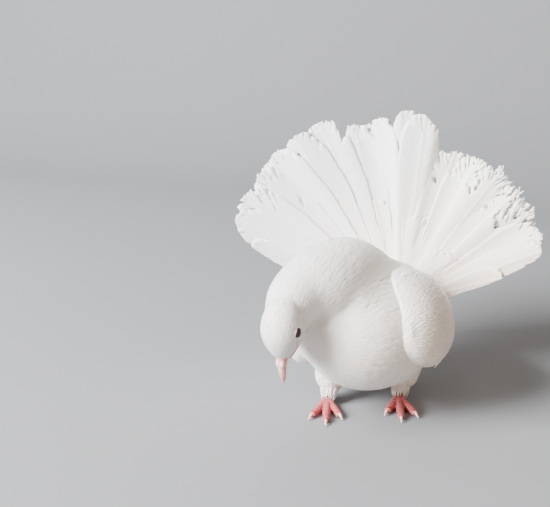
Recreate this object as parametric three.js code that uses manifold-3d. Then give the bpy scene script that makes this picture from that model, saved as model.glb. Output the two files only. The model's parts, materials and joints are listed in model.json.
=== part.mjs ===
// Fantail pigeon, a still life-size model: white, crouched on both feet, breast full, neck arched
// over and down to its right, bill pointing at the floor, tail fan upright.
// Millimetres, +Z up. The bird faces -Y and its left side is +X. The floor is z = 0.

import * as THREE from "three";
import { mergeVertices } from "three/addons/utils/BufferGeometryUtils.js";
import Module from "manifold-3d";

const wasm = await Module();
wasm.setup();

const vec = (x, y, z) => new THREE.Vector3(x, y, z);
const rad = THREE.MathUtils.degToRad;
const lerp = THREE.MathUtils.lerp;
const clamp = THREE.MathUtils.clamp;

// Driving dimensions
const GAP = 0.32; // left between two nodes that meet
const VANE = { root: 0.62, tip: 0.5 }; // thickness of a feather
const LAY = 0.95; // step from one feather to the next that it lies on

const TORSO = {
  middleY: 2, // where the body is widest
  toBreast: 54,
  toRump: 84,
  halfWidth: 46.5,
  rise: 40,
  drop: 44,
  centreZ: 57.5,
  breastRound: 0.5, // exponents of the taper to each end
  rumpRound: 0.6,
};

const NECK = [
  { at: vec(4, 44, 50), across: 30, deep: 28 },
  { at: vec(0, 20, 65), across: 39, deep: 36 },
  { at: vec(-11, -5, 80.5), across: 37, deep: 35 },
  { at: vec(-25, -27, 88), across: 29, deep: 26 },
  { at: vec(-33, -45, 86.5), across: 20.5, deep: 19.5 },
  { at: vec(-35.3, -56, 80.5), across: 15.5, deep: 16 },
  { at: vec(-35.7, -64, 74), across: 12, deep: 12.5 },
];
const NECK_CUT = 0.81; // share of the neck's line at which the head starts

const HEAD = {
  centre: vec(-35.7, -66, 74),
  toBill: vec(-0.03, -0.2, -0.98).normalize(),
  left: vec(0.96, -0.25, 0.12),
  length: 20, // half of it, from the middle to the bill's root
  halfWidth: 13.6,
  crown: 14,
  throat: 14,
};

const EYE = { radius: 4.1, forward: 0.6, up: 1.8, out: 11, ring: 0.75 };
const BILL = { length: 15.5, halfWidth: 4.3, crown: 4.6, chin: 3.4, hook: 2.6 };
const CERE = { radius: 2.6, length: 4.2, spread: 1.9, along: 3.2, rise: 2.4 };

const FAN = {
  root: vec(3, 76, 46),
  lean: 5, // degrees that the fan leans back
  turn: -2, // degrees that it is turned to the bird's right
  reach: 146, // from the root's centre to the longest tip
  wornShare: 0.86, // what wear leaves of the left side's feathers
  wornFrom: 0.2, // angle at which that side starts
  edge: 64, // degrees beyond which the last feathers are short
  edgeShare: 0.76,
  sideShare: 0.96, // what the feathers beyond 50 degrees reach
  sideForward: 30, // how far the side tips come forward
  topForward: 4,
};

// The tail's tiers, from front to back
const FAN_ROWS = {
  coverts: { count: 9, halfAngle: 62, share: 0.47, width: 21, lift: 4.6, seed: 31 },
  front: { count: 15, halfAngle: 70, share: 1, width: 28, lift: 0, seed: 11 },
  back: { count: 14, halfAngle: 66, share: 0.98, width: 28, lift: -3.4, seed: 23 },
  underCoverts: { count: 7, halfAngle: 52, share: 0.42, width: 22, lift: -7.6, seed: 47 },
};

// The fleshy base that the tail grows from: where it starts and ends, and its half sizes
const TAIL_BASE = { front: 8, round: -4, back: -17, across: 22, tall: 17 };

// The folded wing's tiers, from the body outwards: y and angle round the body of the lowest and
// the highest feather's root and tip
const WING_TIERS = {
  primaries: {
    count: 5, width: 14, step: 4.3, lift: 1.6, seed: 5,
    low: { root: { y: 22, angle: -31 }, tip: { y: 100, angle: -33 } },
    high: { root: { y: 22, angle: -12 }, tip: { y: 84, angle: -13 } },
  },
  secondaries: {
    count: 6, width: 17, step: 6.4, lift: 5, seed: 9,
    low: { root: { y: 20, angle: -20 }, tip: { y: 82, angle: -18 } },
    high: { root: { y: 20, angle: 34 }, tip: { y: 58, angle: 29 } },
  },
  coverts: {
    count: 7, width: 15, step: 7, lift: 8.2, seed: 13,
    low: { root: { y: 12, angle: -26 }, tip: { y: 50, angle: -24 } },
    high: { root: { y: 12, angle: 30 }, tip: { y: 40, angle: 31 } },
  },
};
const WING_SET = { left: 0, right: -15 }; // degrees that each wing hangs from its level

const FOOT = {
  toes: { inner: 21, middle: 28, outer: 23, hind: 15 },
  radius: 2.9,
  claw: 6.2,
};
const FEET = {
  left: { joint: vec(20, 12, 3.4), turn: 16 },
  right: { joint: vec(-24, -9, 3.4), turn: 15 },
};

// Materials
const material = (color, roughness) =>
  new THREE.MeshStandardMaterial({ color, roughness, metalness: 0 });
const PLUMAGE = material("#efebe6", 0.8);
const FLIGHT = material("#f4f3f4", 0.65);
const BILL_HORN = material("#dcb4ae", 0.45);
const CERE_SKIN = material("#e9dcd8", 0.7);
const LID_DARK = material("#160d0a", 0.08);
const FOOT_SKIN = material("#c4626f", 0.55);
const CLAW_HORN = material("#ddc6bd", 0.4);

// A seeded draw, so that feathers vary but every build is the same
function draws(seed) {
  let state = seed;
  return (low, high) => {
    state = (state * 1664525 + 1013904223) % 4294967296;
    return low + (high - low) * (state / 4294967296);
  };
}

// Solids

function solidOf(geometry) {
  const bare = geometry.clone();
  for (const name of Object.keys(bare.attributes)) {
    if (name !== "position") bare.deleteAttribute(name);
  }
  const merged = mergeVertices(bare, 1e-4);
  const corners = [];
  const index = merged.index.array;
  for (let i = 0; i < index.length; i += 3) {
    const [a, b, c] = [index[i], index[i + 1], index[i + 2]];
    if (a !== b && b !== c && c !== a) corners.push(a, b, c);
  }
  const build = (list) =>
    new wasm.Manifold(
      new wasm.Mesh({
        numProp: 3,
        vertProperties: new Float32Array(merged.attributes.position.array),
        triVerts: new Uint32Array(list),
      }),
    );
  const made = build(corners);
  return made.volume() > 0 ? made : build(corners.reverse());
}

const joined = (solids) => solids.reduce((whole, next) => whole.add(next));
const cutBy = (solid, cutters) => cutters.reduce((left, cutter) => left.subtract(cutter), solid);

function largest(solid) {
  return solid.decompose().reduce((best, next) => (next.volume() > best.volume() ? next : best));
}

function meshOf(name, solid, look) {
  const kept = largest(solid).getMesh();
  const points = new Float32Array(kept.numVert * 3);
  for (let i = 0; i < kept.numVert; i++) {
    points.set(kept.vertProperties.subarray(i * kept.numProp, i * kept.numProp + 3), i * 3);
  }
  const geometry = new THREE.BufferGeometry()
    .setAttribute("position", new THREE.BufferAttribute(points, 3))
    .setIndex(new THREE.BufferAttribute(new Uint32Array(kept.triVerts), 1));
  geometry.computeVertexNormals();
  const mesh = new THREE.Mesh(geometry, look);
  mesh.name = name;
  return mesh;
}

// A closed body through rings of points, with a point at each end
function loft(rings, first, last) {
  const sides = rings[0].length;
  const points = [first, ...rings.flat(), last];
  const at = (ring, side) => 1 + ring * sides + (side % sides);
  const end = points.length - 1;
  const index = [];
  for (let s = 0; s < sides; s++) {
    index.push(0, at(0, s + 1), at(0, s));
    index.push(end, at(rings.length - 1, s), at(rings.length - 1, s + 1));
    for (let r = 0; r + 1 < rings.length; r++) {
      index.push(at(r, s), at(r, s + 1), at(r + 1, s + 1));
      index.push(at(r, s), at(r + 1, s + 1), at(r + 1, s));
    }
  }
  return new THREE.BufferGeometry().setFromPoints(points).setIndex(index);
}

// A thin or thick sheet between two like grids of points, split alike on both faces
function sheet(front, back) {
  const rows = front.length;
  const columns = front[0].length;
  const points = [...front.flat(), ...back.flat()];
  const f = (i, j) => i * columns + j;
  const b = (i, j) => rows * columns + f(i, j);
  const index = [];
  const wall = (a, c, d, e) => index.push(a, c, d, a, d, e);
  for (let i = 0; i + 1 < rows; i++) {
    for (let j = 0; j + 1 < columns; j++) {
      index.push(f(i, j), f(i + 1, j), f(i + 1, j + 1), f(i, j), f(i + 1, j + 1), f(i, j + 1));
      index.push(b(i, j), b(i + 1, j + 1), b(i + 1, j), b(i, j), b(i, j + 1), b(i + 1, j + 1));
    }
    wall(f(i + 1, 0), f(i, 0), b(i, 0), b(i + 1, 0));
    wall(f(i, columns - 1), f(i + 1, columns - 1), b(i + 1, columns - 1), b(i, columns - 1));
  }
  for (let j = 0; j + 1 < columns; j++) {
    wall(f(0, j), f(0, j + 1), b(0, j + 1), b(0, j));
    wall(f(rows - 1, j + 1), f(rows - 1, j), b(rows - 1, j), b(rows - 1, j + 1));
  }
  return new THREE.BufferGeometry().setFromPoints(points).setIndex(index);
}

// Rings along a curve, each an ellipse given by size(t) = { across, deep }
function tube(curve, steps, sides, size, acrossAxis) {
  const rings = [];
  for (let i = 1; i < steps; i++) {
    const t = i / steps;
    const centre = curve.getPoint(t);
    const tangent = curve.getTangent(t);
    const deepAxis = tangent.clone().cross(acrossAxis).normalize();
    const across = deepAxis.clone().cross(tangent).normalize();
    const { across: a, deep: d } = size(t);
    rings.push(
      Array.from({ length: sides }, (_, s) => {
        const angle = (s / sides) * 2 * Math.PI;
        return centre
          .clone()
          .addScaledVector(across, a * Math.cos(angle))
          .addScaledVector(deepAxis, d * Math.sin(angle));
      }),
    );
  }
  return loft(rings, curve.getPoint(0), curve.getPoint(1));
}

// A block that fills the side of a plane that normal points to
function halfSpace(point, normal) {
  const size = 400;
  const block = new THREE.BoxGeometry(size, size, size).translate(0, 0, size / 2);
  block.applyQuaternion(new THREE.Quaternion().setFromUnitVectors(vec(0, 0, 1), normal));
  return solidOf(block.translate(point.x, point.y, point.z));
}

// Torso

const taper = (t, round) => Math.max(0, 1 - t * t) ** round;

// A point on the body's side: y along it, angle round it from the left side upwards
function onTorso(form, y, angle, grow = 0) {
  const back = y > form.middleY;
  const reach = back ? form.toRump : form.toBreast;
  const t = (y - form.middleY) / (reach + grow);
  const share = taper(clamp(t, -1, 1), back ? form.rumpRound : form.breastRound);
  const height = Math.sin(angle) > 0 ? form.rise : form.drop;
  const sink = form.sink ? form.sink(y) : 0;
  return vec(
    Math.cos(angle) * (form.halfWidth + grow) * share,
    y,
    form.centreZ - sink + Math.sin(angle) * (height + grow) * share,
  );
}

function torsoSolid(grow) {
  const [stations, sides] = [20, 26];
  const rings = [];
  for (let i = 1; i < stations; i++) {
    const swing = Math.sin(((i / stations) * 2 - 1) * (Math.PI / 2));
    const y = TORSO.middleY + swing * ((swing > 0 ? TORSO.toRump : TORSO.toBreast) + grow);
    rings.push(
      Array.from({ length: sides }, (_, s) =>
        onTorso(TORSO, y, (s / sides) * 2 * Math.PI, grow),
      ),
    );
  }
  const pole = (y) => vec(0, y, TORSO.centreZ);
  return solidOf(
    loft(
      rings,
      pole(TORSO.middleY - TORSO.toBreast - grow),
      pole(TORSO.middleY + TORSO.toRump + grow),
    ),
  );
}

// Neck and head

const neckCurve = new THREE.CatmullRomCurve3(NECK.map((station) => station.at));

function neckSize(t, grow) {
  const place = t * (NECK.length - 1);
  const i = Math.min(Math.floor(place), NECK.length - 2);
  const share = place - i;
  return {
    across: lerp(NECK[i].across, NECK[i + 1].across, share) + grow,
    deep: lerp(NECK[i].deep, NECK[i + 1].deep, share) + grow,
  };
}

function neckSolid(grow) {
  return solidOf(tube(neckCurve, 15, 20, (t) => neckSize(t, grow), vec(1, -0.3, 0)));
}

const headLeft = HEAD.left
  .clone()
  .addScaledVector(HEAD.toBill, -HEAD.left.dot(HEAD.toBill))
  .normalize();
const headUp = HEAD.toBill.clone().cross(headLeft);

// A point given from the head's middle: forward to the bill, up to the crown, out to the left
const onHead = (forward, up, out) =>
  HEAD.centre
    .clone()
    .addScaledVector(HEAD.toBill, forward)
    .addScaledVector(headUp, up)
    .addScaledVector(headLeft, out);

function headSolid(grow) {
  const [stations, sides] = [12, 16];
  const rings = [];
  for (let i = 1; i < stations; i++) {
    const t = -Math.cos((i / stations) * Math.PI);
    const share = Math.sqrt(1 - t * t);
    const snout = t > 0 ? 1 - 0.2 * t * t : 1;
    const nod = t > 0 ? -2.2 * t * t : 0;
    rings.push(
      Array.from({ length: sides }, (_, s) => {
        const angle = (s / sides) * 2 * Math.PI;
        const tall = Math.sin(angle) > 0 ? HEAD.crown : HEAD.throat;
        return onHead(
          t * (HEAD.length + grow),
          Math.sin(angle) * (tall + grow) * share * snout + nod,
          Math.cos(angle) * (HEAD.halfWidth + grow) * share * snout,
        );
      }),
    );
  }
  return solidOf(
    loft(rings, onHead(-HEAD.length - grow, 0, 0), onHead(HEAD.length + grow, -2.2, 0)),
  );
}

const eyeCentre = (side, out = EYE.out) => onHead(EYE.forward, EYE.up, side * out);

function eyeSolid(side, grow) {
  const ball = new THREE.SphereGeometry(EYE.radius + grow, 12, 8);
  const centre = eyeCentre(side);
  return solidOf(ball.translate(centre.x, centre.y, centre.z));
}

function lidSolid(side) {
  const ring = new THREE.TorusGeometry(EYE.radius * 0.86, EYE.ring, 5, 14);
  const out = headLeft.clone().multiplyScalar(side);
  ring.applyQuaternion(new THREE.Quaternion().setFromUnitVectors(vec(0, 0, 1), out));
  const centre = eyeCentre(side, EYE.out + EYE.radius * 0.62);
  return solidOf(ring.translate(centre.x, centre.y, centre.z));
}

// Bill: root inside the face, ending in a small hook
const billRoot = onHead(HEAD.length - 5, -2.4, 0);
const billWay = HEAD.toBill.clone().addScaledVector(headUp, -0.12).normalize();
const billUp = headUp.clone().addScaledVector(billWay, -headUp.dot(billWay)).normalize();

function billSolid(grow) {
  const [stations, sides] = [10, 12];
  const total = BILL.length + 5;
  const centre = (t) =>
    billRoot
      .clone()
      .addScaledVector(billWay, t * (total + grow))
      .addScaledVector(billUp, -BILL.hook * t * t * t);
  const rings = [];
  for (let i = 1; i < stations; i++) {
    const t = i / stations;
    const share = (1 - t ** 2.2) ** 0.75 * (1 - 0.25 * Math.sin(Math.PI * t));
    rings.push(
      Array.from({ length: sides }, (_, s) => {
        const angle = (s / sides) * 2 * Math.PI;
        const tall = Math.sin(angle) > 0 ? BILL.crown : BILL.chin;
        return centre(t)
          .addScaledVector(billUp, Math.sin(angle) * (tall * share + grow))
          .addScaledVector(headLeft, Math.cos(angle) * (BILL.halfWidth * share + grow));
      }),
    );
  }
  return solidOf(loft(rings, centre(0), centre(1)));
}

// The soft swelling over each nostril, with the nostril's slit under its edge
function cereSolid() {
  const lobes = [1, -1].map((side) => {
    const lobe = new THREE.SphereGeometry(CERE.radius, 10, 7).scale(0.8, 0.9, 1);
    lobe.scale(1, 1, CERE.length / CERE.radius);
    lobe.applyQuaternion(new THREE.Quaternion().setFromUnitVectors(vec(0, 0, 1), billWay));
    const centre = billRoot
      .clone()
      .addScaledVector(billWay, 5 + CERE.along)
      .addScaledVector(billUp, CERE.rise)
      .addScaledVector(headLeft, side * CERE.spread);
    return solidOf(lobe.translate(centre.x, centre.y, centre.z));
  });
  const slits = [1, -1].map((side) => {
    const slit = new THREE.SphereGeometry(1, 6, 5).scale(0.7, 0.5, 1.9);
    slit.applyQuaternion(new THREE.Quaternion().setFromUnitVectors(vec(0, 0, 1), billWay));
    const centre = billRoot
      .clone()
      .addScaledVector(billWay, 6.6 + CERE.along)
      .addScaledVector(billUp, CERE.rise - 0.9)
      .addScaledVector(headLeft, side * (CERE.spread + 2.2));
    return solidOf(slit.translate(centre.x, centre.y, centre.z));
  });
  return cutBy(joined(lobes), slits);
}

// Tail fan

const fanUp = vec(0, Math.sin(rad(FAN.lean)), Math.cos(rad(FAN.lean)));
const fanFront = vec(0, -Math.cos(rad(FAN.lean)), Math.sin(rad(FAN.lean)));

// A point of the fan's dish: r from its root, angle from upright to the bird's left, lift to the front
function onFan(r, placed, lift) {
  const angle = placed + rad(FAN.turn);
  const share = (r / FAN.reach) ** 1.7;
  const side = Math.sin(angle) ** 2;
  const dish = share * lerp(FAN.topForward, FAN.sideForward, side);
  return FAN.root
    .clone()
    .addScaledVector(vec(1, 0, 0), Math.sin(angle) * r)
    .addScaledVector(fanUp, Math.cos(angle) * r)
    .addScaledVector(fanFront, dish + lift);
}

// One feather of a fan row, from r0 to r1, on the step that its place in the row gives it
function fanFeather({ middle, step, r0, r1, width, lift, across = 2, rows = 6 }) {
  const [front, back] = [[], []];
  for (let i = 0; i <= rows; i++) {
    const t = 1 - (1 - i / rows) ** 1.5;
    const r = lerp(r0, r1, t);
    const round = t > 0.88 ? Math.sqrt(Math.max(0.06, 1 - ((t - 0.88) / 0.12) ** 2)) : 1;
    const swell = 0.55 + 0.45 * Math.sin(Math.PI * 0.62 * t);
    const full = Math.min(width, 2 * r * Math.tan(step * 0.84)) * swell;
    const half = Math.min((full * 0.5 * round) / r, step * 0.92);
    const thick = lerp(VANE.root, VANE.tip, t);
    const [frontRow, backRow] = [[], []];
    for (let j = 0; j <= across; j++) {
      const angle = middle + half * ((j / across) * 2 - 1);
      const fall = Math.abs(angle) / step - (middle === 0 ? 2 : Math.abs(middle) / step);
      const height = lift - LAY * fall;
      frontRow.push(onFan(r, angle, height + thick / 2));
      backRow.push(onFan(r, angle, height - thick / 2));
    }
    front.push(frontRow);
    back.push(backRow);
  }
  return solidOf(sheet(front, back));
}

function tailBaseSolid() {
  const [stations, sides] = [8, 20];
  const { front, round, back, across, tall } = TAIL_BASE;
  const rings = [];
  for (let i = 0; i < stations; i++) {
    const d = i === 0 ? front : lerp(round, back, (i - 1) / (stations - 1));
    const share = Math.sqrt(1 - Math.max(0, (d - round) / (back - round)) ** 2);
    rings.push(
      Array.from({ length: sides }, (_, s) => {
        const angle = (s / sides) * 2 * Math.PI;
        return FAN.root
          .clone()
          .addScaledVector(fanFront, d)
          .addScaledVector(vec(1, 0, 0), Math.cos(angle) * across * share)
          .addScaledVector(fanUp, Math.sin(angle) * tall * share);
      }),
    );
  }
  const pole = (d) => FAN.root.clone().addScaledVector(fanFront, d);
  return solidOf(loft(rings, pole(front), pole(back)));
}

function fanReach(angle) {
  const worn = angle > FAN.wornFrom ? FAN.wornShare : 1;
  const edge = Math.abs(angle) > rad(FAN.edge) ? FAN.edgeShare : 1;
  const side = Math.abs(angle) > rad(50) ? FAN.sideShare : 1;
  return FAN.reach * worn * edge * side;
}

function fanRow({ count, halfAngle, share, width, lift, seed }) {
  const step = (2 * rad(halfAngle)) / (count - 1);
  const draw = draws(seed);
  return Array.from({ length: count }, (_, i) => {
    const middle = Math.abs(i - (count - 1) / 2) < 0.1 ? 0 : -rad(halfAngle) + i * step;
    return fanFeather({
      middle,
      step,
      r0: 5,
      r1: fanReach(middle) * share * draw(0.965, 1),
      width: width * draw(0.94, 1.04),
      lift,
    });
  });
}

// Wings: each lies on a form a little outside the torso, which runs on behind it and sinks

const WING = {
  ...TORSO,
  halfWidth: TORSO.halfWidth + 1.2,
  rise: TORSO.rise + 1.2,
  drop: TORSO.drop + 1.2,
  toBreast: TORSO.toBreast + 1.2,
  toRump: 150,
  sink: (y) => (y > 0 ? 19 * (y / 100) ** 1.3 : 0),
  swell: 9.5,
  armStart: -37,
  armEnd: 32,
};

const onWing = (y, angle, lift) => onTorso(WING, y, angle, lift);

// One wing feather from its root to its tip, each given as { y, angle }
function wingFeather({ root, tip, width, lift, step, across = 2, rows = 5 }) {
  const arm = 48;
  const [front, back] = [[], []];
  const way = vec(tip.y - root.y, (tip.angle - root.angle) * arm, 0).normalize();
  for (let i = 0; i <= rows; i++) {
    const t = 1 - (1 - i / rows) ** 1.4;
    const y = lerp(root.y, tip.y, t);
    const angle = lerp(root.angle, tip.angle, t);
    const round = t > 0.8 ? Math.sqrt(Math.max(0.06, 1 - ((t - 0.8) / 0.2) ** 2)) : 1;
    const half = 0.5 * width * round * (0.6 + 0.4 * Math.sin(Math.PI * 0.6 * t));
    const [frontRow, backRow] = [[], []];
    for (let j = 0; j <= across; j++) {
      const side = ((j / across) * 2 - 1) * half;
      const height = lift - (LAY * side) / step;
      const [py, pa] = [y - way.y * side, angle + (way.x * side) / arm];
      frontRow.push(onWing(py, pa, height + lerp(VANE.root, VANE.tip, t)));
      backRow.push(onWing(py, pa, height));
    }
    front.push(frontRow);
    back.push(backRow);
  }
  return solidOf(sheet(front, back));
}

function wingTier({ count, low, high, width, step, lift, seed }, shift) {
  const draw = draws(seed);
  const mix = (a, b, share) => ({
    y: lerp(a.y, b.y, share),
    angle: rad(lerp(a.angle, b.angle, share) + shift),
  });
  return Array.from({ length: count }, (_, i) => {
    const share = i / (count - 1);
    const tip = mix(low.tip, high.tip, share);
    tip.y += draw(-1.2, 1.2);
    return wingFeather({ root: mix(low.root, high.root, share), tip, width, step, lift });
  });
}

// A thick sheet on the wing's form, from one y to another, its angles in degrees
function wingSheet({ from, to, middle, half, base, top, rows, columns }) {
  const [front, back] = [[], []];
  for (let i = 0; i <= rows; i++) {
    const s = i / rows;
    const [frontRow, backRow] = [[], []];
    for (let j = 0; j <= columns; j++) {
      const u = (j / columns) * 2 - 1;
      const angle = rad(middle(s) + half(s) * u);
      frontRow.push(onWing(lerp(from, to, s), angle, top(s, u)));
      backRow.push(onWing(lerp(from, to, s), angle, base));
    }
    front.push(frontRow);
    back.push(backRow);
  }
  return solidOf(sheet(front, back));
}

// The feathered arm of the folded wing, round at the bend, its rear face square to the feathers
function wingArm(shift, grow = 0) {
  const round = (s) => (s < 0.45 ? Math.sqrt(Math.max(0.02, 1 - (1 - s / 0.45) ** 2)) : 1);
  const rim = (s) => Math.sqrt(Math.sin(Math.PI * lerp(0.05, 0.6, s)));
  return wingSheet({
    from: WING.armStart - grow,
    to: WING.armEnd + grow,
    middle: (s) => lerp(2, 6, s) + shift,
    half: (s) => 42 * round(s) * (1 - 0.1 * s) + grow * 1.6,
    base: -grow,
    top: (s, u) => Math.max(1, WING.swell * (1 - u ** 4) ** 0.5 * rim(s)) + grow,
    rows: 10,
    columns: 10,
  });
}

function wingSolid(shift) {
  const tiers = Object.values(WING_TIERS).flatMap((tier) => wingTier(tier, shift));
  return joined([wingArm(shift), ...tiers]);
}

// Legs

function thighSolid(foot) {
  const side = Math.sign(foot.joint.x);
  const line = new THREE.CatmullRomCurve3([
    vec(foot.joint.x - side * 1, foot.joint.y + 14, 40),
    vec(foot.joint.x, foot.joint.y + 11, 24),
    vec(foot.joint.x + side * 0.5, foot.joint.y + 7, 13),
    vec(foot.joint.x + side * 0.5, foot.joint.y + 5, 8),
  ]);
  const size = (t) => {
    const r = lerp(17, 6.5, t) * (t > 0.8 ? Math.sqrt(1 - ((t - 0.8) / 0.24) ** 2) : 1);
    return { across: r, deep: r };
  };
  return solidOf(tube(line, 9, 14, size, vec(1, 0, 0)));
}

const toeWays = { inner: 24, middle: 0, outer: -24, hind: 184 };

function toeWay(side, name, foot) {
  const turn = rad(-90 + side * (toeWays[name] * -1) + foot.turn);
  return vec(Math.cos(turn), Math.sin(turn), 0);
}

function toeSolid(foot, side, name, grow) {
  const length = FOOT.toes[name];
  const way = toeWay(side, name, foot);
  const line = new THREE.CatmullRomCurve3([
    foot.joint.clone().addScaledVector(way, -1).setZ(2.7),
    foot.joint.clone().addScaledVector(way, length * 0.3).setZ(2.5),
    foot.joint.clone().addScaledVector(way, length * 0.65).setZ(2.1),
    foot.joint.clone().addScaledVector(way, length).setZ(1.8),
  ]);
  const size = (t) => {
    const tip = t > 0.85 ? Math.sqrt(1 - ((t - 0.85) / 0.2) ** 2) : 1;
    const r = lerp(FOOT.radius, FOOT.radius * 0.76, t) * tip;
    return { across: r + grow, deep: r + grow };
  };
  return solidOf(tube(line, 9, 8, size, vec(-way.y, way.x, 0)));
}

function clawSolid(foot, side, name) {
  const way = toeWay(side, name, foot);
  const start = foot.joint.clone().addScaledVector(way, FOOT.toes[name] - 1.5).setZ(2.3);
  const line = new THREE.CatmullRomCurve3([
    start,
    start.clone().addScaledVector(way, FOOT.claw * 0.5).setZ(2.5),
    start.clone().addScaledVector(way, FOOT.claw * 0.85).setZ(1.7),
    start.clone().addScaledVector(way, FOOT.claw + 1).setZ(0.5),
  ]);
  const size = (t) => ({ across: lerp(1.15, 0.2, t), deep: lerp(1.35, 0.22, t) });
  return solidOf(tube(line, 6, 6, size, vec(-way.y, way.x, 0)));
}

function tarsusSolid(foot, grow) {
  const line = new THREE.CatmullRomCurve3([
    foot.joint.clone().add(vec(0, 9, 12)),
    foot.joint.clone().add(vec(0, 5, 7)),
    foot.joint.clone().add(vec(0, 0.5, 0.4)),
  ]);
  const size = (t) => ({ across: lerp(2.6, 3.6, t) + grow, deep: lerp(2.6, 3.3, t) + grow });
  return solidOf(tube(line, 7, 10, size, vec(1, 0, 0)));
}

function footSolid(foot, side) {
  const toes = Object.keys(FOOT.toes).map((name) => toeSolid(foot, side, name, 0));
  return joined([tarsusSolid(foot, 0), ...toes]);
}

// Putting it together

const bird = new THREE.Group();
const floor = halfSpace(vec(0, 0, 0), vec(0, 0, -1));
const torsoWide = torsoSolid(GAP);
const neckWide = neckSolid(GAP);

// Torso, cut flat where the tail's root meets it
const tailFace = TAIL_BASE.front + GAP;
const facePoint = FAN.root.clone().addScaledVector(fanFront, tailFace);
const tailCut = halfSpace(facePoint, fanFront.clone().negate());
bird.add(meshOf("torso", cutBy(torsoSolid(0), [tailCut]), PLUMAGE));

// Neck and head are one form, parted by a thin cut
const crook = joined([neckSolid(0), headSolid(0)]);
const cutPoint = neckCurve.getPoint(NECK_CUT);
const cutWay = neckCurve.getTangent(NECK_CUT);
const headSide = halfSpace(cutPoint.clone().addScaledVector(cutWay, -GAP / 2), cutWay);
const neckSide = halfSpace(
  cutPoint.clone().addScaledVector(cutWay, GAP / 2),
  cutWay.clone().negate(),
);
bird.add(meshOf("neck", cutBy(crook, [torsoWide, headSide]), PLUMAGE));

const lids = joined([1, -1].map(lidSolid));
const head = cutBy(joined([crook, lids]), [
  torsoWide,
  neckSide,
  billSolid(GAP),
  eyeSolid(1, GAP),
  eyeSolid(-1, GAP),
]);
bird.add(meshOf("head", head, PLUMAGE));
bird.add(meshOf("eye_left", eyeSolid(1, 0), LID_DARK));
bird.add(meshOf("eye_right", eyeSolid(-1, 0), LID_DARK));

const headWide = headSolid(GAP);
const bill = billSolid(0);
const mouth = billRoot.clone().addScaledVector(billUp, -0.6);
const mouthUp = billUp.clone().addScaledVector(billWay, 0.1).normalize();
const above = halfSpace(mouth.clone().addScaledVector(mouthUp, -GAP / 2), mouthUp);
const below = halfSpace(
  mouth.clone().addScaledVector(mouthUp, GAP / 2),
  mouthUp.clone().negate(),
);
bird.add(meshOf("bill_upper", cutBy(bill, [below]), BILL_HORN));
bird.add(meshOf("bill_lower", cutBy(bill, [above]), BILL_HORN));
bird.add(meshOf("cere", cutBy(cereSolid(), [billSolid(GAP), headWide]), CERE_SKIN));

// Tail
const tailFeathers = Object.values(FAN_ROWS).flatMap(fanRow);
bird.add(meshOf("tail", joined([tailBaseSolid(), ...tailFeathers]), FLIGHT));

// Wings
const wingsWide = [];
for (const [name, side] of Object.entries({ left: 1, right: -1 })) {
  const shift = WING_SET[name];
  const placed = (solid) => (side > 0 ? solid : solid.mirror([1, 0, 0]));
  const wing = cutBy(placed(wingSolid(shift)), [torsoWide, neckWide]);
  bird.add(meshOf("wing_" + name, wing, FLIGHT));
  wingsWide.push(placed(wingArm(shift, GAP)));
}

// Legs
for (const [name, foot] of Object.entries(FEET)) {
  const side = name === "left" ? 1 : -1;
  const shank = tarsusSolid(foot, GAP);
  const thigh = cutBy(thighSolid(foot), [torsoWide, shank, ...wingsWide]);
  bird.add(meshOf("thigh_" + name, thigh, PLUMAGE));
  bird.add(meshOf("foot_" + name, cutBy(footSolid(foot, side), [torsoWide, floor]), FOOT_SKIN));
  for (const toe of Object.keys(FOOT.toes)) {
    const claw = cutBy(clawSolid(foot, side, toe), [toeSolid(foot, side, toe, GAP), floor]);
    bird.add(meshOf(`claw_${name}_${toe}`, claw, CLAW_HORN));
  }
}

// The middle of the whole model's base is the origin
const box = new THREE.Box3().setFromObject(bird);
const middle = box.getCenter(vec(0, 0, 0)).setZ(box.min.z);
for (const mesh of bird.children) mesh.geometry.translate(-middle.x, -middle.y, -middle.z);
bird.userData.shift = middle.negate();

export default bird;
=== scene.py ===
"""Fantail pigeon, a still life-size model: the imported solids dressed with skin, plumage, eyes, bill
and scaled feet, on a plain floor. Everything is in metres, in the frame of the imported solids."""

import heapq
import json
import math
from contextlib import contextmanager

import bmesh
import bpy
import numpy as np
from bpy.props import FloatProperty, FloatVectorProperty, IntProperty, PointerProperty
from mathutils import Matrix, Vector
from mathutils.kdtree import KDTree

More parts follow.
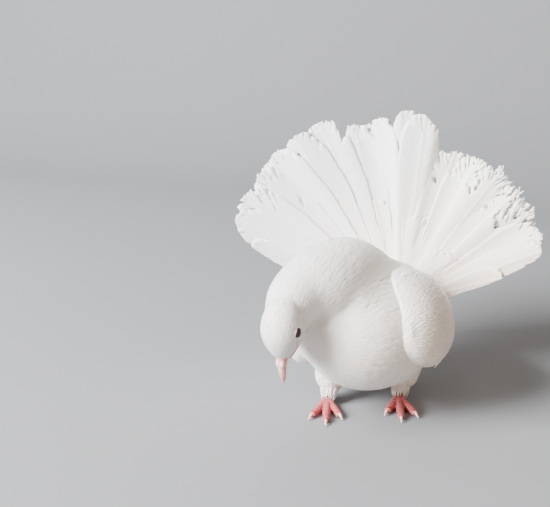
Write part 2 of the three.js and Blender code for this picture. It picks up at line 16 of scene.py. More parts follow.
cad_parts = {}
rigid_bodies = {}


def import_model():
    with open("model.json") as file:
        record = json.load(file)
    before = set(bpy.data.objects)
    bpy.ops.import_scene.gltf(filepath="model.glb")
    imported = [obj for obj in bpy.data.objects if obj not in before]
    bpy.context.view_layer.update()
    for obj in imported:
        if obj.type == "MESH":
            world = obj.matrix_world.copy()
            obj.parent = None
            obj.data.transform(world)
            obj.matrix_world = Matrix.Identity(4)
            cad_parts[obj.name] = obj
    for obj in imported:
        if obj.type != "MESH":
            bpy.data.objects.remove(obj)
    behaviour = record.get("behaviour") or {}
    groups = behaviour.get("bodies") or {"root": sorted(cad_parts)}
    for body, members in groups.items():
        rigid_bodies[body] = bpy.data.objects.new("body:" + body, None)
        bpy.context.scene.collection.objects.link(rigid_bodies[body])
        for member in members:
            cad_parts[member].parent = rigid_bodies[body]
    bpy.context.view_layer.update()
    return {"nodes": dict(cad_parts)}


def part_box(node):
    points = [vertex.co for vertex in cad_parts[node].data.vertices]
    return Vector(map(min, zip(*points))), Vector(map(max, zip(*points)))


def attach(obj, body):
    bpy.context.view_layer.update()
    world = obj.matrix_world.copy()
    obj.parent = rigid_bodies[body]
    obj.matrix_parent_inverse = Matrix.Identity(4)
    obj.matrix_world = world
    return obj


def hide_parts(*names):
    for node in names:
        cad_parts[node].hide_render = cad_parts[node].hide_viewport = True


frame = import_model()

bl_info = {
    "name": "Fantail pigeon",
    "version": (1, 0, 0),
    "blender": (4, 5, 0),
    "location": "View3D > Sidebar > Pigeon",
    "description": "Skin, plumage, eyes, bill and feet of a still fantail pigeon",
    "category": "Object",
}

MM = 0.001
UP = np.array((0.0, 0.0, 1.0))


def unit(vector):
    vector = np.asarray(vector, float)
    return vector / np.linalg.norm(vector, axis=-1, keepdims=True)


def smooth_step(value, low, high):
    t = np.clip((value - low) / (high - low), 0, 1)
    return t * t * (3 - 2 * t)


def full_turn(count):
    return np.linspace(0, 2 * math.pi, count, endpoint=False)


# Head: the middle, the way to the bill and the way to the bird's left, in the solids' millimetres;
# towards the bill it narrows by the taper and bends down by the nod
HEAD_MIDDLE = np.array((-35.7, -66.0, 74.0))
TO_BILL = unit((-0.03, -0.2, -0.98))
HEAD_LEFT = np.array((0.96, -0.25, 0.12))
HEAD_LEFT = unit(HEAD_LEFT - TO_BILL * HEAD_LEFT.dot(TO_BILL))
HEAD_UP = np.cross(TO_BILL, HEAD_LEFT)
HEAD_LENGTH = 20.0
HEAD_HALF_WIDTH = 13.6
HEAD_CROWN = 14.0
HEAD_THROAT = 14.0
HEAD_TAPER = 0.2
HEAD_NOD = 2.2

# Eye and bill in the head's own millimetres: the ball sits deeper than the solids' eye, and the bill is
# sunk into the face, a drop below the head's middle
EYE = {"radius": 4.1, "forward": 0.6, "up": 1.8, "out": 11.0, "deeper": 1.05}
BILL = {
    "length": 15.5, "half_width": 4.3, "crown": 4.6, "chin": 3.4, "hook": 2.6, "sunk": 5.0, "drop": 2.4,
}

# Tail fan: its root, how it leans and turns, and how its sides come forward
FAN_ROOT = np.array((3.0, 76.0, 46.0))
FAN_LEAN = math.radians(5)
FAN_TURN = math.radians(-2)
FAN_REACH = 146.0
FAN_DISH = {"top": 4.0, "side": 30.0, "bend": 1.7}
FAN_ACROSS = np.array((1.0, 0.0, 0.0))
FAN_UP = np.array((0.0, math.sin(FAN_LEAN), math.cos(FAN_LEAN)))
FAN_FRONT = np.array((0.0, -math.cos(FAN_LEAN), math.sin(FAN_LEAN)))

# The tail's fleshy root, along the fan's front: its flat end in front, where it starts to round off
# and where it ends, then its half width and half height
TAIL_BASE = {"front": 20.0, "round": -3.0, "back": -12.5, "across": 21.0, "tall": 14.0}

# The torso, and the form a little outside it that each folded wing lies on; sink is how far the form
# has sunk SINK_LENGTH behind the middle of the layout
TORSO = {
    "middle": 2.0, "to_breast": 54.0, "to_rump": 84.0, "half_width": 46.5, "rise": 40.0,
    "drop": 41.8, "centre": 57.5, "breast_round": 0.5, "rump_round": 0.6, "sink": 0.0,
}
SINK_LENGTH = 100
SINK_BEND = 1.3
WING_OUT = 1.2
WING = {**TORSO, "to_rump": 150.0, "sink": 19.0}
WING.update({size: TORSO[size] + WING_OUT for size in ("to_breast", "half_width", "rise", "drop")})

# The neck's stations from the back to the head: place, half width and half depth
NECK = np.array((
    (4, 44, 50, 30, 24),
    (-7, 20, 64.5, 35, 34),
    (-17, -5, 81.5, 32, 35),
    (-25, -27, 88, 29, 26),
    (-33, -45, 86.5, 20.5, 19.5),
    (-35.3, -56, 80.5, 15.5, 16),
    (-35.7, -64, 74, 12, 12.5),
))
NECK_ACROSS = np.array((1.0, -0.3, 0.0))

# The stretches of those stations that are filled into the body and that reach up into the head
LOWER_NECK = (0.0, 3.2)
UPPER_NECK = (1.5, 6.0)

# The full crop, which joins the neck to the breast
CROP = {"middle": (-15.0, -27.0, 61.0), "half": (29.0, 26.0, 25.0)}

# How each wing's arm lies on the wing's form, its angles in degrees, and how many degrees lower than
# that the arm and the feathers hang, for the left side (1) and the right (-1)
ARM = {
    "start": -36.0, "end": 32.0, "tilt": 9.0, "middle": 22.0, "half": 52.0, "swell": 9.5, "depth": 5.0,
}
WING_HANG = {1: 0.0, -1: -15.0}

# Feet: the joint over each foot, its turn, and the toes' ways and lengths
FEET = {"left": ((20.0, 12.0, 3.4), 16.0, 1), "right": ((-24.0, -9.0, 3.4), 15.0, -1)}
TOES = {"inner": (24.0, 21.0), "middle": (0.0, 28.0), "outer": (-24.0, 23.0), "hind": (184.0, 15.0)}
TOE_RADIUS = 3.1
CLAW = 6.2


def on_head(forward, up, out):
    forward, up, out = (np.asarray(value, float)[..., None] for value in (forward, up, out))
    return HEAD_MIDDLE + TO_BILL * forward + HEAD_UP * up + HEAD_LEFT * out


def eye_middle(side, deeper=EYE["deeper"]):
    return on_head(EYE["forward"], EYE["up"], side * (EYE["out"] - deeper))


# The solids were moved so that the middle of their base is the origin: an eye shows by how much
SHIFT = (Vector(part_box("eye_left")[0]) + Vector(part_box("eye_left")[1])) / 2 / MM
SHIFT = np.array(SHIFT) - eye_middle(1, 0.0)


def placed(points):
    """Millimetres of the solids' own layout to metres of the frame."""
    return (np.asarray(points, float) + SHIFT) * MM


def on_fan(r, angle, lift):
    """A point of the tail's dish, r from its root, angle from upright to the bird's left."""
    turned = angle + FAN_TURN
    side = np.sin(turned) ** 2
    dish = FAN_DISH["top"] * (1 - side) + FAN_DISH["side"] * side
    dish = (r / FAN_REACH) ** FAN_DISH["bend"] * dish
    across = (np.sin(turned) * r)[..., None] * FAN_ACROSS
    up = (np.cos(turned) * r)[..., None] * FAN_UP
    return FAN_ROOT + across + up + (dish + lift)[..., None] * FAN_FRONT


def sink_at(form, y):
    return form["sink"] * (np.maximum(y, 0) / SINK_LENGTH) ** SINK_BEND


def on_form(form, y, angle, lift):
    """A point over a form: y along it, angle round it from the left side upwards."""
    back = y > form["middle"]
    reach = np.where(back, form["to_rump"], form["to_breast"]) + lift
    t = np.clip((y - form["middle"]) / reach, -1, 1)
    share = (1 - t * t) ** np.where(back, form["rump_round"], form["breast_round"])
    height = np.where(np.sin(angle) > 0, form["rise"], form["drop"])
    x = np.cos(angle) * (form["half_width"] + lift) * share
    z = form["centre"] - sink_at(form, y) + np.sin(angle) * (height + lift) * share
    return np.stack((x, y + 0 * x, z), -1)


def on_wing(y, angle, lift):
    return on_form(WING, y, angle, lift)


def wing_crest(u):
    """How thick a folded wing is across its arm: full below, and running out softly above."""
    u = np.clip(u, -1, 1)
    return np.where(u > 0, (1 - u**2) ** 0.8, (1 - u**4) ** 0.5)


def mirrored(points, side):
    return np.asarray(points) * np.array((side, 1.0, 1.0))


# Meshes


def add_layers(mesh, **layers):
    """Stores a number or a vector for each vertex, under each layer's name."""
    for layer, values in layers.items():
        values = np.asarray(values, np.float32)
        kind, slot = ("FLOAT", "value") if values.ndim == 1 else ("FLOAT_VECTOR", "vector")
        mesh.attributes.new(layer, kind, "POINT").data.foreach_set(slot, values.ravel())


def mesh_object(name, points, faces, finish=None, **layers):
    mesh = bpy.data.meshes.new(name)
    mesh.from_pydata(np.asarray(points).reshape(-1, 3).tolist(), [], [list(f) for f in faces])
    add_layers(mesh, **layers)
    mesh.shade_smooth()
    if finish:
        mesh.materials.append(finish)
    item = bpy.data.objects.new(name, mesh)
    bpy.context.scene.collection.objects.link(item)
    return item


@contextmanager
def reworked(mesh):
    """The mesh as a bmesh, written back at the end."""
    work = bmesh.new()
    work.from_mesh(mesh)
    yield work
    work.to_mesh(mesh)
    work.free()


def outward(item):
    """Turns a closed piece's faces outwards."""
    with reworked(item.data) as work:
        bmesh.ops.recalc_face_normals(work, faces=work.faces)
    item.data.shade_smooth()
    return item


def settle(item):
    """Turns what the modifiers make into the object's own mesh."""
    graph = bpy.context.evaluated_depsgraph_get()
    made = bpy.data.meshes.new_from_object(
        item.evaluated_get(graph), preserve_all_data_layers=True, depsgraph=graph
    )
    item.modifiers.clear()
    old, item.data = item.data, made
    bpy.data.meshes.remove(old)
    return item


def read_all(items, name, width=1, kind=float):
    """One value of each item, or a row of width values."""
    values = np.empty(len(items) * width, kind)
    items.foreach_get(name, values)
    return values.reshape(-1, width)


def coordinates(mesh):
    return read_all(mesh.vertices, "co", 3)


def set_coordinates(mesh, points):
    mesh.vertices.foreach_set("co", np.asarray(points).ravel())
    mesh.update()


def normals(mesh):
    return read_all(mesh.vertex_normals, "vector", 3)


def edge_ends(mesh):
    return read_all(mesh.edges, "vertices", 2, np.int64)


def search_tree(points):
    tree = KDTree(len(points))
    for k, point in enumerate(points):
        tree.insert(point, k)
    tree.balance()
    return tree


def neighbour_mean(values, ends, count):
    """The mean of each vertex's neighbours."""
    first, second = ends[:, 0], ends[:, 1]
    number = np.bincount(ends.ravel(), minlength=count)[:, None]
    total = np.stack(
        [
            np.bincount(first, values[second, k], count) + np.bincount(second, values[first, k], count)
            for k in range(values.shape[1])
        ],
        -1,
    )
    return total / np.maximum(number, 1)


def relaxed(points, ends, rounds, share, keep=0.0):
    """Smooths points; keep is how much of the shrinking each round gives back."""
    for _ in range(rounds):
        for factor in (share, -share * keep):
            mean = neighbour_mean(points, ends, len(points))
            points = points + (mean - points) * factor
    return points


def loft(rings, first, last):
    """Points and faces of a closed body through rings of points, with a point at each end."""
    rings = np.asarray(rings)
    count, sides = rings.shape[:2]
    points = np.concatenate(([first], rings.reshape(-1, 3), [last]))
    end = len(points) - 1
    faces = []
    for s in range(sides):
        n = (s + 1) % sides
        faces.append((0, 1 + n, 1 + s))
        faces.append((end, 1 + (count - 1) * sides + s, 1 + (count - 1) * sides + n))
        for r in range(count - 1):
            a, b = 1 + r * sides, 1 + (r + 1) * sides
            faces.append((a + s, a + n, b + n, b + s))
    return points, faces


def closed_sheet(front, back):
    """Points and faces of a body between two like grids of points."""
    rows, columns = front.shape[:2]
    points = np.concatenate((front.reshape(-1, 3), back.reshape(-1, 3)))
    f = np.arange(rows * columns).reshape(rows, columns)
    b = f + rows * columns
    faces = []
    for i in range(rows - 1):
        for j in range(columns - 1):
            faces.append((f[i, j], f[i + 1, j], f[i + 1, j + 1], f[i, j + 1]))
            faces.append((b[i, j], b[i, j + 1], b[i + 1, j + 1], b[i + 1, j]))
    rim = [*f[:-1, 0], *f[-1, :-1], *f[:0:-1, -1], *f[0, :0:-1]]
    for k, a in enumerate(rim):
        c = rim[(k + 1) % len(rim)]
        faces.append((c, a, a + rows * columns, c + rows * columns))
    return points, faces


def joined_pieces(pieces):
    """One list of points and faces from several."""
    points, faces, start = [], [], 0
    for piece_points, piece_faces in pieces:
        points.append(piece_points)
        faces.extend(tuple(int(i) + start for i in face) for face in piece_faces)
        start += len(piece_points)
    return np.concatenate(points), faces


def remeshed(name, points, faces, voxel):
    """One closed surface round all that the faces enclose."""
    item = outward(mesh_object(name, points, faces))
    remesh = item.modifiers.new("Whole", "REMESH")
    remesh.mode = "VOXEL"
    remesh.voxel_size = voxel
    settle(item)
    with reworked(item.data) as work:
        keep_largest(work)
    item.data.shade_smooth()
    return item


def keep_largest(work):
    """Deletes every island of a bmesh but the one with most vertices."""
    work.verts.ensure_lookup_table()
    seen = [False] * len(work.verts)
    islands = []
    for start in work.verts:
        if seen[start.index]:
            continue
        seen[start.index] = True
        island, reach = [start], [start]
        while reach:
            for edge in reach.pop().link_edges:
                for vertex in edge.verts:
                    if not seen[vertex.index]:
                        seen[vertex.index] = True
                        island.append(vertex)
                        reach.append(vertex)
        islands.append(island)
    islands.sort(key=len)
    bmesh.ops.delete(work, geom=[v for island in islands[:-1] for v in island], context="VERTS")


# Nodes


def wire(tree, node, values):
    """Links or sets a node's inputs, given by name or number, to sockets or values."""
    for socket, value in values.items():
        if isinstance(value, bpy.types.NodeSocket):
            tree.links.new(value, node.inputs[socket])
        elif value is not None:
            node.inputs[socket].default_value = value
    return node


def add(tree, kind, *given, **settings):
    """A node with its settings; given are its inputs in order, each a socket, a value or None."""
    node = tree.nodes.new(kind)
    for name, value in settings.items():
        setattr(node, name, value)
    return wire(tree, node, dict(enumerate(given)))


def reckon(tree, operation, *values):
    return add(tree, "ShaderNodeMath", *values, operation=operation).outputs[0]


def vector_reckon(tree, operation, *values):
    return add(tree, "ShaderNodeVectorMath", *values, operation=operation).outputs[0]


def scaled(tree, vector, factor):
    node = add(tree, "ShaderNodeVectorMath", vector, operation="SCALE")
    return wire(tree, node, {"Scale": factor}).outputs[0]


def object_place(tree):
    return add(tree, "ShaderNodeTexCoord").outputs["Object"]


def attribute(tree, name, output):
    return add(tree, "ShaderNodeAttribute", attribute_name=name).outputs[output]


def noise(tree, place, scale, detail):
    return add(tree, "ShaderNodeTexNoise", place, None, scale, detail).outputs[0]


def ramp(tree, value, low, high, bottom=0.0, top=1.0, shape="LINEAR"):
    """Goes from bottom to top while the value goes from low to high."""
    node = add(tree, "ShaderNodeMapRange", value, low, high, bottom, top, interpolation_type=shape)
    return node.outputs[0]


def stepped(tree, value, low, high):
    return ramp(tree, value, low, high, shape="SMOOTHSTEP")


def mixed(tree, factor, first, second):
    """Two colours, each a socket or plain red, green and blue, mixed by the factor."""
    node = wire(tree, add(tree, "ShaderNodeMix", data_type="RGBA"), {0: factor})
    for socket, colour in ((6, first), (7, second)):
        linked = isinstance(colour, bpy.types.NodeSocket)
        wire(tree, node, {socket: colour if linked else (*colour, 1.0)})
    return node.outputs[2]


def node_group(name, kind, wanted, output):
    """A new node group with its wanted inputs and one output: the tree, its inputs and the output."""
    tree = bpy.data.node_groups.new(name, kind)
    for socket_name, socket_kind, value in wanted:
        socket = tree.interface.new_socket(
            socket_name, in_out="INPUT", socket_type="NodeSocket" + socket_kind
        )
        if value is not None:
            socket.default_value = value
    tree.interface.new_socket(output[0], in_out="OUTPUT", socket_type="NodeSocket" + output[1])
    given = tree.nodes.new("NodeGroupInput").outputs
    return tree, given, tree.nodes.new("NodeGroupOutput").inputs[output[0]]


def tone_and_shade_group():
    """White plumage with painted shade, cooler towards the bird's right and warmer low on its left, and with
    its own mottle and streaks.
    """
    tree = bpy.data.node_groups.get("Plumage tone")
    if tree:
        return tree
    wanted = (
        ("White", "Color", None),
        ("Cool", "Color", None),
        ("Warm", "Color", None),
        ("Mottle", "Float", 0.25),
        ("Feather", "Float", 0.5),
        ("Streak", "Float", 0.3),
    )
    tree, given, result = node_group("Plumage tone", "ShaderNodeTree", wanted, ("Colour", "Color"))
    place = object_place(tree)
    blotch = noise(tree, place, 38.0, 3.0)
    x, _, z = add(tree, "ShaderNodeSeparateXYZ", place).outputs
    mottle = reckon(tree, "MULTIPLY", reckon(tree, "SUBTRACT", blotch, 0.5), given["Mottle"])
    streak = reckon(tree, "MULTIPLY", reckon(tree, "SUBTRACT", given["Feather"], 0.5), given["Streak"])
    # Painted shade: the plumage turns cooler towards the bird's right and warmer low on its left; the mottle
    # and streaks are its own tone.
    cool_shade_to_right = ramp(tree, x, low=0.0, high=-0.11, top=0.85)
    warm_shade_low = ramp(tree, z, low=0.15, high=0.05, bottom=0.15)
    warm_shade_to_left = ramp(tree, x, low=-0.02, high=0.1, bottom=0.25)
    own = reckon(tree, "ADD", mottle, streak)
    warm_tone_and_shade = reckon(tree, "ADD", reckon(tree, "MULTIPLY", warm_shade_low, warm_shade_to_left), own)
    cool_toned_and_shaded = mixed(tree, reckon(tree, "ADD", cool_shade_to_right, mottle), given["White"], given["Cool"])
    tree.links.new(mixed(tree, warm_tone_and_shade, cool_toned_and_shaded, given["Warm"]), result)
    return tree


def barb_group():
    """The height of a vane's barbs, which slant from its shaft to its edge and clump unevenly."""
    tree = bpy.data.node_groups.get("Barbs")
    if tree:
        return tree
    wanted = (("Vane", "Vector", None), ("Count", "Float", 12.0), ("Slant", "Float", 0.5))
    tree, given, result = node_group("Barbs", "ShaderNodeTree", wanted, ("Height", "Float"))
    across, along, own = add(tree, "ShaderNodeSeparateXYZ", given["Vane"]).outputs
    out = reckon(tree, "ABSOLUTE", across)
    slanted = reckon(tree, "SUBTRACT", along, reckon(tree, "MULTIPLY", out, given["Slant"]))
    line = reckon(tree, "MULTIPLY", slanted, given["Count"])
    place = add(tree, "ShaderNodeCombineXYZ", line, across, own).outputs[0]
    tree.links.new(noise(tree, place, 1.0, 2.0), result)
    return tree


def principled(name, roughness, **more):
    finish = bpy.data.materials.new(name)
    finish.use_nodes = True
    shader = finish.node_tree.nodes["Principled BSDF"]
    shader.inputs["Roughness"].default_value = roughness
    for socket, value in more.items():
        shader.inputs[socket.replace("_", " ")].default_value = value
    return finish, finish.node_tree, shader


def bump(tree, shader, height, distance):
    node = wire(tree, add(tree, "ShaderNodeBump"), {"Strength": 1.0, "Distance": distance, "Height": height})
    tree.links.new(node.outputs["Normal"], shader.inputs["Normal"])


# Each plumage: how many barbs and how they slant, how deep and how rough they are, and how the vanes
# mottle and streak
PLUMAGES = {
    "under_down": (20.0, 0.5, 0.0003, 0.8, 0.2, 0.1),
    "contour_plumage": (9.0, 1.2, 0.00008, 0.6, 0.25, 0.22),
    "flight_plumage": (70.0, 0.35, 0.00025, 0.55, 0.3, 0.1),
    "wing_plumage": (46.0, 0.35, 0.0002, 0.58, 0.25, 0.1),
}


def plumage_finish(name, colours):
    """Feather vanes: soft white, faintly translucent, with barbs that slant from the shaft."""
    finish = bpy.data.materials.get(name)
    if finish:
        return finish
    barbs, slant, depth, roughness, mottle, streak = PLUMAGES[name]
    finish, tree, shader = principled(
        name, roughness, Sheen_Weight=0.3, Sheen_Roughness=0.35, Subsurface_Weight=0.2,
        Subsurface_Scale=0.004, Subsurface_Radius=(1.0, 0.8, 0.7),
    )
    vane = attribute(tree, "vane", "Vector")
    own = reckon(tree, "FRACT", add(tree, "ShaderNodeSeparateXYZ", vane).outputs[2])
    # The base colour carries painted shade from the tone group, besides the vanes' own mottle and streaks.
    tone = wire(tree, add(tree, "ShaderNodeGroup", node_tree=tone_and_shade_group()), {
        "White": (*colours.white, 1.0), "Cool": (*colours.cool_tone_and_shade, 1.0), "Warm": (*colours.warm_tone_and_shade, 1.0),
        "Mottle": mottle, "Streak": streak, "Feather": own,
    })
    tree.links.new(tone.outputs["Colour"], shader.inputs["Base Color"])
    lines = add(tree, "ShaderNodeGroup", vane, barbs, slant, node_tree=barb_group())
    bump(tree, shader, lines.outputs["Height"], depth)
    return finish


# Skin


def torso_body():
    swing = np.sin(np.linspace(-1, 1, 62)[1:-1] * math.pi / 2)[:, None]
    y = TORSO["middle"] + swing * np.where(swing > 0, TORSO["to_rump"], TORSO["to_breast"])
    rings = on_form(TORSO, y, full_turn(64)[None, :], 0.0)
    ends = (TORSO["middle"] - TORSO["to_breast"], TORSO["middle"] + TORSO["to_rump"])
    return loft(rings, *((0, end, TORSO["centre"]) for end in ends))


def spline(rows, t):
    """A smooth line through rows, at t counted in rows."""
    i = np.clip(t.astype(int), 0, len(rows) - 2)
    f = (t - i)[:, None]
    before, here = rows[np.maximum(i - 1, 0)], rows[i]
    there, after = rows[i + 1], rows[np.minimum(i + 2, len(rows) - 1)]
    bend = 2 * before - 5 * here + 4 * there - after
    twist = 3 * (here - there) + after - before
    return 0.5 * (2 * here + (there - before) * f + bend * f**2 + twist * f**3)


def neck_body(start, end):
    stations = spline(NECK, np.linspace(start, end, 50))
    line = stations[:, :3]
    way = unit(np.gradient(line, axis=0))
    deep = unit(np.cross(way, NECK_ACROSS))
    across = np.cross(deep, way)
    turn = full_turn(48)[None, :, None]
    size = stations[:, None, 3:]
    rings = line[:, None] + across[:, None] * np.cos(turn) * size[..., :1]
    rings = rings + deep[:, None] * np.sin(turn) * size[..., 1:]
    return loft(rings[1:-1], line[0], line[-1])


def ball_stations(count):
    """Places along a ball's axis from -1 to 1, closer together towards its ends."""
    return -np.cos(np.linspace(0, math.pi, count)[1:-1])[:, None]


def crop_body():
    t = ball_stations(26)
    turn = full_turn(36)[None, :]
    share = np.sqrt(1 - t * t)
    rings = np.stack((np.cos(turn) * share, t + 0 * turn, np.sin(turn) * share), -1)
    middle, half = np.array(CROP["middle"]), np.array(CROP["half"])
    ends = [middle + half * (0, way, 0) for way in (-1, 1)]
    return loft(middle + half * rings, *ends)


def head_profile(t):
    """How full the head is at t, from -1 behind to 1 at the bill, and how far it nods there."""
    ahead = np.maximum(t, 0)
    return np.sqrt(1 - t * t) * (1 - HEAD_TAPER * ahead * ahead), HEAD_NOD * ahead * ahead


def head_body():
    t = ball_stations(34)
    turn = full_turn(40)[None, :]
    share, nod = head_profile(t)
    tall = np.where(np.sin(turn) > 0, HEAD_CROWN, HEAD_THROAT)
    up = np.sin(turn) * tall * share - nod
    rings = on_head(t * HEAD_LENGTH + 0 * turn, up, np.cos(turn) * HEAD_HALF_WIDTH * share)
    return loft(rings, on_head(-HEAD_LENGTH, 0, 0), on_head(HEAD_LENGTH, -HEAD_NOD, 0))


def filled_body(bodies, radius, cell):
    """The bodies as one, with the creases between them filled as a ball of the radius would."""
    points, faces = joined_pieces(bodies)
    for name, grow in (("wide", radius), ("close", -radius)):
        item = remeshed(name, points, faces, cell)
        mesh = item.data
        points = relaxed(coordinates(mesh), edge_ends(mesh), 3, 0.5, 0.5)
        set_coordinates(mesh, points)
        points = points + normals(mesh) * grow
        faces = [tuple(face.vertices) for face in mesh.polygons]
        bpy.data.objects.remove(item)
        bpy.data.meshes.remove(mesh)
    return points, faces


def rounded(s, span, least):
    """Rises to one over the span like a quarter circle, from the root of least."""
    return np.sqrt(np.maximum(least, 1 - (1 - np.minimum(s / span, 1)) ** 2))


def arm_body(side):
    """The fleshy arm of a folded wing, round at the bend and thinning under the flight feathers."""
    s = np.linspace(0, 1, 34)[:, None]
    u = np.linspace(-1, 1, 25)[None, :]
    bend = rounded(s, 0.45, 0.02)
    rim = rounded(s, 0.3, 0.15) * (1 - 0.8 * smooth_step(s, 0.55, 1))
    angle = ARM["middle"] + 2 * s + WING_HANG[side] + ARM["half"] * bend * (1 - 0.1 * s) * u
    angle = np.radians(angle)
    y = ARM["start"] + (ARM["end"] - ARM["start"]) * s + ARM["tilt"] * bend * u * (1 - s)
    top = np.maximum(0.5, ARM["swell"] * wing_crest(u) * rim)
    front = on_wing(y, angle, top)
    back = on_wing(y, angle, 0 * top - ARM["depth"])
    return closed_sheet(mirrored(front, side), mirrored(back, side))


def tail_body():
    """The fleshy root of the tail."""
    start, end = TAIL_BASE["round"], TAIL_BASE["back"]
    steps = [TAIL_BASE["front"], *np.linspace(start, end, 9)[:-1]]
    turn = full_turn(28)[:, None]
    rings = []
    for step in steps:
        share = math.sqrt(1 - max(0.0, (step - start) / (end - start)) ** 2)
        across = np.cos(turn) * TAIL_BASE["across"] * share * FAN_ACROSS
        up = np.sin(turn) * TAIL_BASE["tall"] * share * FAN_UP
        rings.append(FAN_ROOT + FAN_FRONT * step + across + up)
    return loft(rings, *(FAN_ROOT + FAN_FRONT * step for step in (steps[0], end)))


# The solids that the skin takes the place of, and how far a thigh is grown to meet the torso
FLESH = ("torso", "neck", "head", "thigh_left", "thigh_right")
JOIN = 0.4 * MM


def node_body(name):
    """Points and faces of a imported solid, grown enough to close the gap to its neighbours."""
    work = bmesh.new()
    work.from_mesh(frame["nodes"][name].data)
    bmesh.ops.remove_doubles(work, verts=work.verts, dist=1e-6)
    bmesh.ops.recalc_face_normals(work, faces=work.faces)
    work.normal_update()
    work.verts.ensure_lookup_table()
    points = np.array([v.co + v.normal * JOIN for v in work.verts])
    faces = [tuple(v.index for v in face.verts) for face in work.faces]
    work.free()
    return points, faces


def geodesic(points, ends, start):
    """How far each vertex is from the start vertex, along the edges."""
    links = [[] for _ in points]
    sizes = np.linalg.norm(points[ends[:, 0]] - points[ends[:, 1]], axis=1)
    for (a, b), size in zip(ends.tolist(), sizes.tolist()):
        links[a].append((b, size))
        links[b].append((a, size))
    far = [math.inf] * len(points)
    far[start] = 0.0
    queue = [(0.0, start)]
    while queue:
        reached, vertex = heapq.heappop(queue)
        if reached > far[vertex]:
            continue
        for other, size in links[vertex]:
            if reached + size < far[other]:
                far[other] = reached + size
                heapq.heappush(queue, (far[other], other))
    return np.array(far)


# The lie follows a field that is fixed near the bill, at the far end and low on the legs, in metres,
# and smoothed between; then the lie itself is smoothed and made to waver
FIXED = {"near_bill": 0.012, "far_end": 0.02, "low": 0.014}
FIELD_ROUNDS = 1400
LIE_ROUNDS = 12
WAVER_ROUNDS = 14
WAVER = 0.13


def lie_of_coat(points, ends, surface_normals, far, draw):
    """The way that feathers point at each vertex: from the bill towards the tail and the feet."""
    fixed = (far < FIXED["near_bill"]) | (far > far.max() - FIXED["far_end"])
    fixed |= points[:, 2] < FIXED["low"]
    held = far[fixed]
    for _ in range(FIELD_ROUNDS):
        far = neighbour_mean(far[:, None], ends, len(far))[:, 0]
        far[fixed] = held
    first, second = ends[:, 0], ends[:, 1]
    step = points[second] - points[first]
    rise = (far[second] - far[first]) / np.maximum((step**2).sum(1), 1e-12)
    slope = step * rise[:, None]
    lie = np.zeros_like(points)
    for k in range(3):
        lie[:, k] = np.bincount(first, slope[:, k], len(points))
        lie[:, k] += np.bincount(second, slope[:, k], len(points))
    for _ in range(LIE_ROUNDS):
        lie -= surface_normals * (lie * surface_normals).sum(1, keepdims=True)
        lie = lie / np.maximum(np.linalg.norm(lie, axis=1, keepdims=True), 1e-9)
        lie = lie + neighbour_mean(lie, ends, len(points))
    waves = relaxed(draw.normal(0, 1, points.shape), ends, WAVER_ROUNDS, 1.0)
    return unit(unit(lie) + WAVER * waves / waves.std())


# The fold from the eye to the corner of the mouth: how far forward on the head, and how high there
GAPE_FORWARD = (4.6, 11.0, 18.2)
GAPE_UP = (1.3, -1.4, -3.4)


def gape_line(side, lift):
    """From the corner of the mouth to the front of the eye, over the head's side."""
    forward = np.linspace(GAPE_FORWARD[-1], GAPE_FORWARD[0], 24)
    up = np.interp(forward, GAPE_FORWARD, GAPE_UP)
    share, nod = head_profile(forward / HEAD_LENGTH)
    high = (up + nod) / (HEAD_THROAT * share)
    return on_head(forward, up, side * (HEAD_HALF_WIDTH * share * np.sqrt(1 - high**2) + lift))


SIDES = {1: "left", -1: "right"}

# The skin lies less deep near the head: how far from the head's middle, in metres
THIN_COAT = (0.018, 0.034)


def skin_of(name, bodies, settings, rounds, near_head=0.0):
    """One closed skin round the bodies, inside them by the coat's depth, less so near the head."""
    skin = remeshed(name, *joined_pieces(bodies), settings.skin_cell)
    mesh = skin.data
    points = relaxed(coordinates(mesh), edge_ends(mesh), rounds, 0.5, 0.5)
    set_coordinates(mesh, points)
    depth = settings.coat_depth
    if near_head:
        away = np.linalg.norm(points - placed(HEAD_MIDDLE), axis=1)
        depth = depth * (1 - near_head * (1 - smooth_step(away, *THIN_COAT)))[:, None]
    points = points - normals(mesh) * depth
    set_coordinates(mesh, points)
    return skin, points, normals(mesh)


def dress(skin, finish, **layers):
    """Gives a skin its layers, its flat map and its finish."""
    add_layers(skin.data, **layers)
    unwrap(skin)
    skin.data.materials.append(finish)
    return skin


# What a wing hides of the skin: how far inside the arm's edge, in degrees, and from where to where
HIDDEN = {"inside": 29.0, "front": -14.0, "back": 50.0}


def under_wing(points):
    """Which points of the skin lie deep under a folded wing, where feathers would not show."""
    x, y, z = (points / MM - SHIFT).T
    hidden = np.zeros(len(points), bool)
    for side, hang in WING_HANG.items():
        angle = np.degrees(np.arctan2(z - WING["centre"] + sink_at(WING, y), x * side))
        level = np.abs(angle - ARM["middle"] - hang) < ARM["half"] - HIDDEN["inside"]
        hidden |= level & (y > HIDDEN["front"]) & (y < HIDDEN["back"])
    return hidden


# The cell of the mesh that the creases are filled in, in millimetres, and the share by which the coat
# is less deep on the head
FILL_CELL = 2.2
HEAD_THINNING = 0.55

# What stays bare, in millimetres: round an eye, round the bill and behind its root, and by the gape
BARE = {"eye": 4.4, "bill": 3.6, "behind_bill": 1.5, "gape": 0.8}

# The coat's regions, in metres over the skin from the bill; they overlap a little
NEAR_GAPE = 0.03
FACE_END = 0.027
NAPE = (0.024, 0.062)
BODY_START = 0.058

# The breast's feathers meet those of the back here, in the solids' millimetres
BREAST_END = 8


